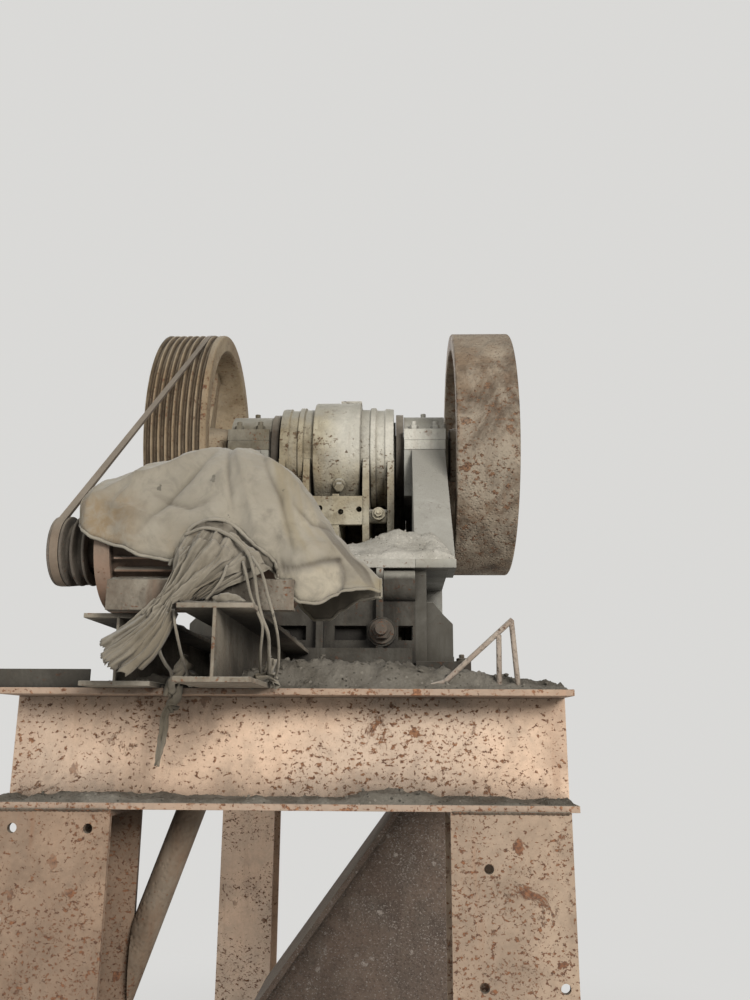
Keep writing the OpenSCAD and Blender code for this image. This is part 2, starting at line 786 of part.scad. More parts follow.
pulley_w = (pulley_n - 1) * groove_pitch + groove_w + 14;
pulley_x = plane_x + (pulley_n - 1) / 2 * groove_pitch;
module motor_pulley() {
    color(dusty) on_x(pulley_x, motor_ay, motor_az) difference() {
        rotate_extrude() difference() {
            polygon([
                [motor_shaft_d / 2 - 4, -pulley_w / 2 + 6],
                [38, -pulley_w / 2 + 6],
                [40, -14],
                [pulley_r - 26, -14],
                [pulley_r - 24, -pulley_w / 2],
                [pulley_r - 2, -pulley_w / 2],
                [pulley_r, -pulley_w / 2 + 2],
                [pulley_r, pulley_w / 2 - 2],
                [pulley_r - 2, pulley_w / 2],
                [pulley_r - 24, pulley_w / 2],
                [pulley_r - 26, 14],
                [40, 14],
                [38, pulley_w / 2 + 8],
                [motor_shaft_d / 2 - 4, pulley_w / 2 + 8]
            ]);
            for (i = [0 : pulley_n - 1])
                translate([pulley_r, (i - (pulley_n - 1) / 2) * groove_pitch]) groove_profile();
        }
        cylinder(d = motor_shaft_d + run_gap, h = 2 * pulley_w, center = true);
    }
}

// The one belt that is left, a closed loop round both wheels
belt_gap = 0.5;
belt_h = 13;
drive_d = [axis_y - motor_ay, axis_z - motor_az];
drive_l = norm(drive_d);
drive_a = atan2(drive_d[1], drive_d[0]);
belt_b = asin((wheel_r - pulley_r) / drive_l);
run_l = drive_l * cos(belt_b);
run_lap = 2;
run_in = 0.1;
// Section of the belt, whose straight runs are a little thinner than the arcs that they end in
module belt_profile(s, in = 0) {
    top = groove_w / 2 - belt_gap - in;
    polygon([
        [s * (1 - in), -top],
        [s * (1 - in), top],
        [s * (1 + in - belt_h), top - belt_h * groove_slope],
        [s * (1 + in - belt_h), -top + belt_h * groove_slope]
    ]);
}
module belt_arc(r, a0, a) {
    rotate([0, 0, a0]) rotate_extrude(angle = a, $fn = 160) translate([r, 0]) belt_profile(1);
}
module drive_belt() {
    up = drive_a + belt_b;
    down = drive_a - belt_b;
    color([0.55, 0.54, 0.5]) on_x(plane_x, motor_ay, motor_az) {
        belt_arc(pulley_r, up + 90, 180 - 2 * belt_b);
        translate(drive_d) belt_arc(wheel_r, down - 90, 180 + 2 * belt_b);
        for (s = [-1, 1]) rotate([0, 0, s > 0 ? up : down]) translate([-run_lap, s * pulley_r, 0])
            rotate([90, 0, 90]) linear_extrude(run_l + 2 * run_lap) belt_profile(s, run_in);
    }
}

// Discharge chute, which hangs from the right hand side beam
chute_a = 53;
chute_y0 = axis_y + 80;
chute_hi = [chamber_w / 2 + 48, stand_top - beam_h];
chute_lo = [-330, chute_hi[1] - (chute_hi[0] + 330) * tan(chute_a)];
chute_back = col_x - 8;
module chute_plane(y, t) {
    translate([0, y + t, 0]) rotate([90, 0, 0]) linear_extrude(t) children();
}
module chute_side() {
    polygon([chute_hi, [chute_back, chute_hi[1]], [chute_back, chute_lo[1]], chute_lo]);
}
module discharge_chute() {
    color([0.42, 0.38, 0.35]) {
        chute_plane(chute_y0, chute_t) chute_side();
        chute_plane(chute_y0 + chute_l - chute_t, chute_t) chute_side();
        // Floor with its turned edges
        for (p = [[0, chute_l, 0, chute_t], [-34, 44, -chute_t, chute_t * 2], [chute_l - 10, 44, -chute_t, chute_t * 2]])
            translate([0, chute_y0 + p[0] + p[1], 0]) rotate([90, 0, 0]) linear_extrude(p[1]) intersection() {
                translate(chute_hi) rotate(180 + chute_a) translate([-20, -p[2] - p[3]])
                    square([norm(chute_hi - chute_lo) + 20, p[3]]);
                translate([-chamber_w, 0]) square([2 * chamber_w, chute_hi[1]]);
            }
        translate([chute_back - chute_t, chute_y0, chute_lo[1]])
            cube([chute_t, chute_l, chute_hi[1] - chute_lo[1]]);
    }
}

// Brace between the front beam and the left column
brace_d = 66;
brace_l = 700;
module chute_brace() {
    brace_hi = [-232, -col_y + beam_h / 2 - flange_t / 2, stand_top - beam_h];
    color(dusty) intersection() {
        translate(brace_hi) rotate([0, -180 + 19.5, 0]) translate([0, 0, -80])
            cylinder(d = brace_d, h = brace_l, $fn = 48);
        translate([-col_x + beam_w / 2, brace_hi[1] - brace_d, 0]) cube([col_x, 2 * brace_d, brace_hi[2]]);
    }
}

// Loose steel on the front beam
bar_l = 238;
module angle_bar() {
    color(rust) translate([carrier_left - carrier_h / 2 - 9 - bar_l, front_y0 + 12, stand_top + seat_gap]) {
        cube([bar_l, 40, 4]);
        cube([bar_l, 4, 40]);
    }
}
module rod(p, q, r, more = 0) {
    d = q - p;
    translate(p) rotate([0, acos(d[2] / norm(d)), atan2(d[1], d[0])]) translate([0, 0, -more])
        cylinder(r = r, h = norm(d) + 2 * more, $fn = 12);
}
wire_r = 6;
wire_pts = [[509, 40, 0], [498, 40, 150], [347, 30, 14], [322, 30, 8]];
module bent_rod() {
    color(rust) translate([0, front_y0, stand_top + 0.8]) {
        rod(wire_pts[0], wire_pts[1], wire_r);
        for (i = [1 : 2]) rod(wire_pts[i], wire_pts[i + 1], wire_r, wire_r / 2);
        rod([467, 36, 0], [469, 36, 118], wire_r);
    }
}

// Tarp over the motor, a sheet of cloth_t thickness on cross sections along the shaft. Each row holds
// the distance from the shaft shoulder, the rise of the ridge over the motor body, the room beside the
// motor body and the height of the hem over the shaft axis
cloth_t = 9;
tarp_rows = [
    [-8, -22, -6, 36],
    [8, -2, 12, 20],
    [31, 12, 20, 6],
    [86, 32, 25, -14],
    [156, 58, 27, -38],
    [221, 86, 28, -48],
    [276, 92, 28, -48],
    [336, 86, 27, -44],
    [386, 62, 24, -48],
    [436, 30, 22, -88],
    [458, 10, 20, -106],
    [481, -20, 18, -124],
    [521, -78, 12, -134],
    [548, -116, -2, -120],
    [596, -166, -44, -96],
    [644, -204, -96, -84]
];
tarp_n = 16;
// Point of a section from the near hem (v = 0) over the top to the far hem (v = 1)
function tarp_pt(r, v, t) = let (
        a = 180 * (1 - v),
        c = cos(a),
        s = sin(a),
        w = (motor_r + r[2] - t) * sign(c) * pow(abs(c), 0.75),
        h = (motor_r + r[1] - t - r[3]) * pow(s, 0.62)
    ) [shoulder_x + r[0], motor_ay + w, motor_az + r[3] + h];
tarp_cols = tarp_n + 1;
tarp_out = [for (r = tarp_rows, j = [0 : tarp_n]) tarp_pt(r, j / tarp_n, 0)];
tarp_in = [for (r = tarp_rows, j = [0 : tarp_n]) tarp_pt(r, j / tarp_n, cloth_t)];
tarp_count = len(tarp_out);
tarp_last = len(tarp_rows) - 1;
function quad(a, b, c, d) = [[a, b, c], [a, c, d]];
function id(i, j) = i * tarp_cols + j;
tarp_faces = concat(
    [for (i = [0 : tarp_last - 1], j = [0 : tarp_n - 1], f = quad(id(i, j), id(i, j + 1), id(i + 1, j + 1), id(i + 1, j))) f],
    [for (i = [0 : tarp_last - 1], j = [0 : tarp_n - 1], f = quad(tarp_count + id(i, j), tarp_count + id(i + 1, j), tarp_count + id(i + 1, j + 1), tarp_count + id(i, j + 1))) f],
    [for (i = [0 : tarp_last - 1], f = quad(id(i, 0), id(i + 1, 0), tarp_count + id(i + 1, 0), tarp_count + id(i, 0))) f],
    [for (i = [0 : tarp_last - 1], f = quad(id(i, tarp_n), tarp_count + id(i, tarp_n), tarp_count + id(i + 1, tarp_n), id(i + 1, tarp_n))) f],
    [for (j = [0 : tarp_n - 1], f = quad(id(0, j), tarp_count + id(0, j), tarp_count + id(0, j + 1), id(0, j + 1))) f],
    [for (j = [0 : tarp_n - 1], f = quad(id(tarp_last, j), id(tarp_last, j + 1), tarp_count + id(tarp_last, j + 1), tarp_count + id(tarp_last, j))) f]
);
module tarp() {
    color(cloth) polyhedron(concat(tarp_out, tarp_in), tarp_faces);
}

// Torn sacking that hangs over the channel in front of the motor: rings of [x, y, z, half width, half height]
rag_rings = [
    [-128, -124, 234.7, 30, 22],
    [-150, -176, 262, 50, 28],
    [-186, -186, 236, 58, 24],
    [-222, -192, 200, 56, 24],
    [-258, -186, 152, 54, 26],
    [-292, -176, 108, 50, 28],
    [-326, -170, 76, 44, 24],
    [-356, -168, 58, 34, 14]
];
rag_n = 10;
rag_last = len(rag_rings) - 1;
function rag_pt(r, k) = let (a = 360 * k / rag_n) [
    r[0] - 0.6 * r[3] * sin(a),
    front_y0 + r[1] + r[4] * cos(a),
    stand_top + r[2] + 0.75 * r[3] * sin(a)
];
rag_points = [for (r = rag_rings, k = [0 : rag_n - 1]) rag_pt(r, k)];
function rid(i, k) = i * rag_n + k % rag_n;
rag_faces = concat(
    [for (i = [0 : rag_last - 1], k = [0 : rag_n - 1], f = quad(rid(i, k), rid(i, k + 1), rid(i + 1, k + 1), rid(i + 1, k))) f],
    [[for (k = [rag_n - 1 : -1 : 0]) rid(0, k)]],
    [[for (k = [0 : rag_n - 1]) rid(rag_last, k)]]
);
module rag_bundle() {
    color(cloth) polyhedron(rag_points, rag_faces);
}

column_front_left();
column_front_right();
column_rear_left();
column_rear_right();
front_beam();
rear_beam();
side_beams();
cross_beams();
packing_rails();
side_wall_left();
side_wall_right();
rear_wall();
front_wall();
base_flanges();
cheek_plates();
fixed_jaw();
bearing_housings();
bearing_caps();
bearing_covers();
toggle_block();
toggle_plate();
tension_rods();
pitman();
swing_jaw();
jaw_wedge();
eccentric_shaft();
sheave();
flywheel();
shaft_end_caps();
motor_beams();
motor_channel();
motor_body();
motor_fan_cover();
motor_shaft();
motor_pulley();
drive_belt();
discharge_chute();
chute_brace();
angle_bar();
bent_rod();
tarp();
rag_bundle();
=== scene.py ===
"""Looks of the jaw crusher on its stand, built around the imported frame.

Metres, unless a comment says millimetres. X runs along the shaft, -Y is the motor's side, Z is up.
"""

import math
import random

import bmesh
import bpy
from mathutils import Matrix, Vector, noise


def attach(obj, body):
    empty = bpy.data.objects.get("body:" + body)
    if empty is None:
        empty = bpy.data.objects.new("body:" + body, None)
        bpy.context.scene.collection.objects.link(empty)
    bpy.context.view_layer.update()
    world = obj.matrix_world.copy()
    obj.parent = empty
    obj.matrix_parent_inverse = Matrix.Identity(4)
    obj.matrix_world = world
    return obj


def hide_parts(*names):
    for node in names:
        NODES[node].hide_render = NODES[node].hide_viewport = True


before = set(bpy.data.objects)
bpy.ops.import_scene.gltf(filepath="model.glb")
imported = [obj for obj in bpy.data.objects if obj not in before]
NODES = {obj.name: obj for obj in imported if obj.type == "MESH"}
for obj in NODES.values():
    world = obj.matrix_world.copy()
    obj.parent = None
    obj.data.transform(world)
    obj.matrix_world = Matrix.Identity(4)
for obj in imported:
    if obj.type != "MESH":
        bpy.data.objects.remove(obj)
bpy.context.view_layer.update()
D = bpy.data
SCENE = bpy.context.scene

# Places from part.scad
PLATE_TOP = 0.025
COLUMN_TOP = 1.330
LEDGE_TOP = 1.344
STAND_TOP = 1.580
FLANGE_TOP = 1.700
CARRIER_TOP = 1.730
SHELF_TOP = 2.020
COL_X = 0.480
COL_OUT = 1.425
COL_IN = 1.175
BEAM_END = 0.620
MOTOR_Y = -1.370
MOTOR_Z = 1.890
MOTOR_R = 0.140
SHOULDER_X = -0.436


# Materials
class Tree:
    """Nodes of a material or of the world, with short names for the sums that they do."""

    def __init__(self, owner):
        owner.use_nodes = True
        self.tree = owner.node_tree
        self.tree.nodes.clear()

    def link(self, source, socket):
        self.tree.links.new(source, socket)

    def put(self, value, socket):
        if isinstance(value, bpy.types.NodeSocket):
            self.link(value, socket)
        else:
            socket.default_value = value

    def add(self, kind, inputs=(), **props):
        """Node of a kind, with a value or a link for each named or numbered input."""
        node = self.tree.nodes.new(kind)
        for key, value in props.items():
            setattr(node, key, value)
        for key, value in dict(inputs).items():
            self.put(value, node.inputs[key])
        return node

    def math(self, kind, a, b, c=0.0):
        return self.add("ShaderNodeMath", {0: a, 1: b, 2: c}, operation=kind).outputs[0]

    def times(self, a, b):
        return self.math("MULTIPLY", a, b)

    def plus(self, a, b):
        return self.math("ADD", a, b)

    def less(self, a, b):
        return self.math("SUBTRACT", a, b)

    def most(self, a, b):
        return self.math("MAXIMUM", a, b)


class Graph(Tree):
    """Material with one Principled shader, and short names for the node types that it uses."""

    def __init__(self, name):
        self.mat = D.materials.new(name)
        super().__init__(self.mat)
        self.shader = self.add("ShaderNodeBsdfPrincipled")
        self.out = self.add("ShaderNodeOutputMaterial", {0: self.shader.outputs[0]})
        self.space = self.add("ShaderNodeTexCoord").outputs["Object"]

    def moved(self, scale=(1, 1, 1), offset=(0, 0, 0)):
        return self.add("ShaderNodeMapping", {"Vector": self.space, "Scale": scale, "Location": offset}).outputs[0]

    def noise(self, scale, detail, rough, warp=0.0, at=None):
        inputs = {"Vector": at or self.space, "Scale": scale, "Detail": detail, "Roughness": rough, "Distortion": warp}
        return self.add("ShaderNodeTexNoise", inputs).outputs["Fac"]

    def cells(self, scale, at=None):
        return self.add("ShaderNodeTexVoronoi", {"Vector": at or self.space, "Scale": scale}).outputs

    def split(self, colour):
        return self.add("ShaderNodeSeparateColor", {0: colour}).outputs

    def spots(self, scale, low, high, ragged=0.35, power=2.5, at=None):
        """Ragged round spots of many sizes: 1 inside, 0 outside."""
        cells = self.cells(scale, at)
        limit = self.math("POWER", self.split(cells["Color"])[0], power)
        limit = self.math("MULTIPLY_ADD", limit, high - low, low)
        edge = self.times(self.less(self.noise(scale * 3.1, 3, 0.6), 0.5), ragged)
        return self.band(self.less(limit, self.plus(cells["Distance"], edge)), 0.0, 0.05)

    def band(self, value, low, high):
        """0 below low, 1 above high, smooth between."""
        inputs = {"Value": value, "From Min": low, "From Max": high}
        return self.add("ShaderNodeMapRange", inputs, interpolation_type="SMOOTHSTEP").outputs[0]

    def between(self, value, low, high):
        """Values of 0 to 1 spread from low to high."""
        return self.add("ShaderNodeMapRange", {"Value": value, "To Min": low, "To Max": high}).outputs[0]

    def mix(self, share, a, b, kind="MIX"):
        a, b = ((*v, 1.0) if isinstance(v, tuple) else v for v in (a, b))
        return self.add("ShaderNodeMix", {0: share, 6: a, 7: b}, data_type="RGBA", blend_type=kind).outputs[2]

    def axis(self, index, source=None):
        return self.add("ShaderNodeSeparateXYZ", {0: source or self.space}).outputs[index]

    def lies(self, ragged, uneven, low, high):
        """Share of what lies on a surface that looks up, with a ragged edge."""
        up = self.axis(2, self.add("ShaderNodeNewGeometry").outputs["Normal"])
        return self.band(self.plus(up, self.times(self.less(ragged, 0.5), uneven)), low, high)

    def hollows(self, reach):
        """1 in open places, near 0 in corners."""
        return self.add("ShaderNodeAmbientOcclusion", {"Distance": reach}, samples=4).outputs["AO"]

    def bump(self, height, distance, strength):
        node = self.add("ShaderNodeBump", {"Strength": strength, "Distance": distance, "Height": height})
        self.link(node.outputs[0], self.shader.inputs["Normal"])

    def finish(self, colour, rough, specular=0.35):
        self.put(colour, self.shader.inputs["Base Color"])
        self.put(rough, self.shader.inputs["Roughness"])
        self.shader.inputs["Specular IOR Level"].default_value = specular
        return self.mat


def lit(colour, share):
    """The colour, darker or paler."""
    return tuple(min(1, c * share) for c in colour)


def region(g, bounds, share, ragged):
    """Share inside one region, given by an axis, a start and an end for each bound."""
    for axis, start, end in bounds:
        along = g.plus(g.axis(axis), g.times(g.less(ragged, 0.5), 0.4 * abs(end - start)))
        part = g.band(along, min(start, end), max(start, end))
        share = g.times(share, part if start < end else g.less(1.0, part))
    return share


def layered(name, base, alt, rust=0.3, rust_low=(0.06, 0.028, 0.017), rust_high=(0.2, 0.088, 0.042), spot=40.0,
            spot_size=0.36, dust=0.95, dust_colour=(0.22, 0.19, 0.15), dirt_and_shade=0.6, dirt_and_shade_colour=(0.028, 0.024, 0.018),
            corner=0.1, film=0.25, pits=0.0, streaks=0.3, blotch=0.5, offset=(0, 0, 0), tints=(), shaded_regions=(), even=0.0):
    """Old metal in layers: paint or bare skin, rust that breaks through, corners darkened partly by soiling and partly
    as painted shade, dust on top.

    Tints are (bounds, share, colour), and the regions of painted shade are (bounds, share), both for region(). Even is
    the least crowding of rust.
    """
    g = Graph(name)
    g.space = g.moved(offset=offset)
    wide = g.noise(2.3, 5, 0.6, 0.3)
    middle = g.noise(11.0, 6, 0.62, 0.4)
    fine = g.noise(74.0, 5, 0.65)
    colour = g.mix(g.band(wide, 0.38, 0.64), base, alt)
    colour = g.mix(g.times(g.band(middle, 0.42, 0.72), blotch), colour, lit(alt, 0.62))
    for bounds, share, skin in tints:
        colour = g.mix(region(g, bounds, share, middle), colour, skin)
    colour = g.mix(1.0, colour, g.between(fine, 0.76, 1.2), "MULTIPLY")

    # Dry film of stone dust, in patches and in runs
    veil = g.band(g.noise(5.5, 6, 0.7, 0.6, g.moved((1, 1, 0.6), offset)), 0.4, 0.7)
    washed = g.band(g.noise(17.0, 5, 0.65, 0.3, g.moved((1, 1, 0.12), offset)), 0.46, 0.7)
    colour = g.mix(g.times(g.most(veil, g.times(washed, 0.7)), film), colour, dust_colour)

    # Rust: ragged specks that crowd in places, larger spots with a stain round them, patches and runs
    crowd = g.plus(g.times(wide, 0.5), g.times(g.noise(6.0, 4, 0.6, 0.5), 0.5))
    crowd = g.most(g.band(crowd, 0.5 - 0.16 * rust, 0.6 - 0.1 * rust), even)
    grain = g.noise(spot * 2.0, 5, 0.68, 0.15, g.moved((1, 1, 1.35), offset))
    over = g.less(grain, g.math("MULTIPLY_ADD", crowd, -0.085, 0.7 - 0.07 * rust))
    speck = g.band(over, 0.0, 0.018)
    halo = g.band(over, -0.05, 0.018)
    fleck = g.less(g.noise(spot * 5.0, 4, 0.65), g.math("MULTIPLY_ADD", crowd, -0.075, 0.735 - 0.05 * rust))
    fleck = g.band(fleck, 0.0, 0.02)
    big = g.spots(spot * 0.55, -0.3, 0.16 + spot_size * rust, 0.9, 3.0)
    patch = g.band(g.noise(spot * 0.2, 9, 0.8, 0.4), 0.73 - 0.2 * rust, 0.76 - 0.18 * rust)
    runs = g.band(g.noise(26.0, 4, 0.6, 0.2, g.moved((1, 1, 0.08), offset)), 0.56, 0.74)
    rusty = g.most(g.most(speck, fleck), g.most(patch, g.times(big, crowd)))
    rusty = g.times(rusty, min(1.0, 0.5 + rust))
    stain = g.times(g.most(g.times(halo, 0.5), g.times(runs, streaks)), min(1.0, 0.4 + rust))
    colour = g.mix(stain, colour, tuple(0.3 * c + 0.7 * r for c, r in zip(base, rust_high)))
    colour = g.mix(rusty, colour, g.mix(g.band(g.noise(130.0, 4, 0.7), 0.35, 0.65), rust_low, rust_high))

    # Corners and hollows darkened where the ambient occlusion finds them: partly soiling, partly painted shade
    grime_and_shade = g.plus(g.less(1.0, g.hollows(corner)), g.times(middle, 0.35))
    colour = g.mix(g.times(g.band(grime_and_shade, 0.28, 0.9), dirt_and_shade), colour, dirt_and_shade_colour)
    # Painted shade: whole regions darkened towards the same near-black colour
    for bounds, share in shaded_regions:
        colour = g.mix(region(g, bounds, share, middle), colour, dirt_and_shade_colour)

    # Dust that lies on what looks up
    grey = g.mix(g.noise(210.0, 3, 0.7), lit(dust_colour, 0.74), lit(dust_colour, 1.2))
    colour = g.mix(g.times(g.lies(middle, 0.9, 0.3, 0.8), dust), colour, grey)

    height = g.math("MULTIPLY_ADD", fine, 0.35, g.times(middle, 0.5))
    height = g.plus(height, g.times(rusty, 0.5))
    height = g.plus(height, g.times(g.band(g.cells(85.0)["Distance"], 0.0, 0.55), pits))
    g.bump(height, 0.0022, 0.85)
    return g.finish(colour, g.between(middle, 0.76, 0.96))


PRIMER = dict(spot=38, spot_size=0.34, dust=0.85, streaks=0.35, film=0.12, dirt_and_shade=0.85, blotch=0.4, corner=0.14)
POST = dict(rust=0.66, spot_size=0.42, dust=0.8, streaks=0.55, film=0.15, dirt_and_shade=0.85, rust_low=(0.08, 0.04, 0.025))
# Near-black metal: partly its own colour, partly painted shade
BLACK_AND_SHADED = dict(rust=0.25, spot=30, film=0.4, blotch=0.6, pits=0.4, dirt_and_shade_colour=(0.012, 0.01, 0.008))
CAST = dict(spot=30, dust_colour=(0.36, 0.34, 0.285), dirt_and_shade=1.0, pits=0.6, corner=0.11, blotch=0.7)
SKINS = {
    "stand": ("stand_paint", (0.66, 0.475, 0.34), (0.56, 0.43, 0.325), dict(PRIMER, rust=0.5)),
    "stand_beam": ("stand_paint_beam", (0.66, 0.475, 0.34), (0.56, 0.43, 0.325), dict(
        PRIMER, rust=0.66, even=0.62, rust_low=(0.105, 0.05, 0.03), rust_high=(0.29, 0.14, 0.07), tints=[
            ([(2, 1.5636, 1.5644)], 0.6, (0.145, 0.098, 0.068)),
            ([(2, 1.3446, 1.3438)], 0.6, (0.16, 0.11, 0.078)),
            ([(0, 0.545, 0.6), (2, 1.36, 1.44)], 0.45, (0.25, 0.17, 0.12)),
            ([(0, -0.545, -0.6)], 0.4, (0.3, 0.21, 0.15)),
        ])),
    # The front columns are copies of the stand paint in darker colours: partly rust, partly painted shade, with the
    # left one darkest
    "stand_right": ("stand_paint_right", (0.37, 0.275, 0.195), (0.26, 0.19, 0.135), dict(
        POST, spot=42, offset=(3.1, 1.7, 0.4), even=0.6)),
    "stand_left": ("stand_paint_left", (0.27, 0.185, 0.125), (0.185, 0.125, 0.085), dict(
        POST, spot=44, offset=(5.3, 0.6, 2.2), even=0.5)),
    "frame": ("frame_paint", (0.4, 0.395, 0.355), (0.3, 0.285, 0.235), dict(
        rust=0.16, spot=30, dust=0.9, dust_colour=(0.33, 0.315, 0.275), dirt_and_shade=1.0, film=0.55, corner=0.22, blotch=0.6,
        # Painted shade: the lower front of the walls, below the shelf, is darkened by the first tint and by the shaded
        # region
        shaded_regions=[([(2, 2.02, 1.96), (1, -0.3, -0.45)], 0.62)],
        tints=[
            ([(2, 2.02, 1.93), (1, -0.28, -0.45)], 0.85, (0.095, 0.086, 0.068)),
            ([(2, 2.02, 2.15), (1, -0.1, -0.3)], 0.5, (0.56, 0.54, 0.48)),
        ])),
    # The inner parts and the rear wall: their near-black colours are partly painted shade, and their shaded regions
    # darken the front parts and the wall's foot
    "inner": ("inner_frame", (0.085, 0.075, 0.057), (0.048, 0.041, 0.03), dict(
        BLACK_AND_SHADED, dust_colour=(0.235, 0.22, 0.185), dirt_and_shade=1.0, corner=0.25, shaded_regions=[([(1, -0.3, -0.5)], 0.5)])),
    "rear": ("rear_casting", (0.085, 0.075, 0.057), (0.048, 0.041, 0.03), dict(
        BLACK_AND_SHADED, dust_colour=(0.27, 0.255, 0.215), dirt_and_shade=0.9, corner=0.2, shaded_regions=[([(2, 1.985, 1.955)], 0.45)],
        tints=[([(2, 1.955, 2.0)], 1.0, (0.36, 0.345, 0.3))])),
    "dusty": ("dusty_casting", (0.28, 0.245, 0.175), (0.19, 0.155, 0.1), dict(CAST, film=0.5)),
    "housing": ("housing_casting", (0.2, 0.175, 0.125), (0.13, 0.108, 0.07), dict(
        # Painted light: the right-hand housing and cap are drawn pale, as if lit
        CAST, film=0.45, tints=[([(0, 0.0, 0.26)], 0.95, (0.6, 0.58, 0.51))])),
    "barrel": ("barrel_skin", (0.5, 0.45, 0.33), (0.235, 0.185, 0.11), dict(
        rust=0.44, spot=24, dust_colour=(0.4, 0.38, 0.32), dirt_and_shade=1.0, film=0.6, pits=0.8, corner=0.07, blotch=0.8,
        rust_low=(0.055, 0.032, 0.018), rust_high=(0.16, 0.095, 0.05), tints=[
            # Painted highlight: the barrel's top and right-hand part are drawn pale, as if lit from the right
            ([(0, -0.07, 0.05), (2, 2.44, 2.6)], 0.8, (0.66, 0.635, 0.56)),
            ([(0, 0.19, 0.225), (2, 2.56, 2.42)], 0.6, (0.11, 0.085, 0.055)),
        ])),
    "rust": ("rusty_steel", (0.135, 0.092, 0.06), (0.085, 0.055, 0.036), dict(
        rust=0.55, dust=0.8, dust_colour=(0.24, 0.215, 0.17), film=0.45, pits=0.8, dirt_and_shade=0.8)),
    "flywheel": ("flywheel_skin", (0.2, 0.142, 0.092), (0.085, 0.058, 0.038), dict(
        rust=0.6, spot=22, spot_size=0.3, dust=0.3, rust_low=(0.045, 0.026, 0.017), rust_high=(0.23, 0.125, 0.068),
        dust_colour=(0.4, 0.34, 0.26), film=0.7, pits=1.6, blotch=0.95)),
    "sheave": ("sheave_skin", (0.34, 0.265, 0.17), (0.235, 0.17, 0.1), dict(
        rust=0.45, spot=42, dust=0.5, dust_colour=(0.36, 0.31, 0.235), dirt_and_shade=1.0, corner=0.035, film=0.35, pits=0.4,
        dirt_and_shade_colour=(0.03, 0.019, 0.012))),
    "bare": ("worn_steel", (0.15, 0.13, 0.105), (0.1, 0.08, 0.06), dict(
        dust=0.8, dust_colour=(0.28, 0.25, 0.2), film=0.4, pits=0.3)),
    "pulley": ("pulley_skin", (0.115, 0.097, 0.078), (0.075, 0.06, 0.047), dict(
        rust=0.45, dust=0.8, dust_colour=(0.2, 0.17, 0.13), film=0.35, pits=0.5)),
    "motor": ("motor_paint", (0.235, 0.14, 0.092), (0.165, 0.11, 0.078), dict(
        rust=0.35, dust=0.9, film=0.3, corner=0.03, dirt_and_shade=0.9)),
    "channel": ("channel_skin", (0.12, 0.095, 0.07), (0.078, 0.06, 0.043), dict(
        rust=0.45, spot=46, dust=0.9, dust_colour=(0.3, 0.27, 0.215), film=0.6, pits=0.8, dirt_and_shade=0.8)),
    "chute": ("chute_plate", (0.125, 0.088, 0.066), (0.088, 0.066, 0.052), dict(
        rust=0.55, spot=62, even=0.7, streaks=0.1, dust=0.7, pits=2.2, rust_low=(0.2, 0.165, 0.14),
        rust_high=(0.34, 0.3, 0.26))),
    "beam": ("small_beam_skin", (0.225, 0.195, 0.15), (0.15, 0.125, 0.092), dict(
        # Near-black corners, partly painted shade on the webs
        rust=0.4, dust_colour=(0.34, 0.31, 0.255), film=0.6, dirt_and_shade=1.0, dirt_and_shade_colour=(0.018, 0.015, 0.011),
        corner=0.2, pits=0.4)),
    "rod": ("rod_crust", (0.3, 0.245, 0.195), (0.2, 0.155, 0.12), dict(
        rust=0.45, spot=60, dust=0.7, dust_colour=(0.36, 0.32, 0.27), film=0.6, pits=1.5)),
    "belt": ("belt_rubber", (0.165, 0.125, 0.09), (0.115, 0.085, 0.06), dict(
        rust=0.0, dust=0.5, film=0.35, dirt_and_shade=0.2, dust_colour=(0.27, 0.235, 0.185), streaks=0.0)),
}
MAT = {key: layered(name, base, alt, **layers) for key, (name, base, alt, layers) in SKINS.items()}


def dust_material(name, low, high):
    g = Graph(name)
    wide = g.noise(7.0, 6, 0.65, 0.3)
    fine = g.noise(160.0, 5, 0.75)
    colour = g.mix(g.band(wide, 0.36, 0.66), low, high)
    colour = g.mix(1.0, colour, g.between(fine, 0.58, 1.3), "MULTIPLY")
    colour = g.mix(g.times(g.spots(120.0, -0.1, 0.42), 0.75), colour, lit(low, 0.35))
    pale = g.spots(90.0, -0.1, 0.36, at=g.moved(offset=(4, 2, 9)))
    colour = g.mix(g.times(pale, 0.6), colour, lit(high, 1.3))
    g.bump(g.plus(g.times(fine, 0.9), g.noise(42.0, 5, 0.7)), 0.006, 0.95)
    return g.finish(colour, g.math("MULTIPLY_ADD", wide, 0.1, 0.88), specular=0.12)


MAT["dust"] = dust_material("stone_dust", (0.115, 0.102, 0.082), (0.205, 0.187, 0.156))
MAT["pale_dust"] = dust_material("pale_stone_dust", (0.4, 0.375, 0.32), (0.55, 0.52, 0.455))


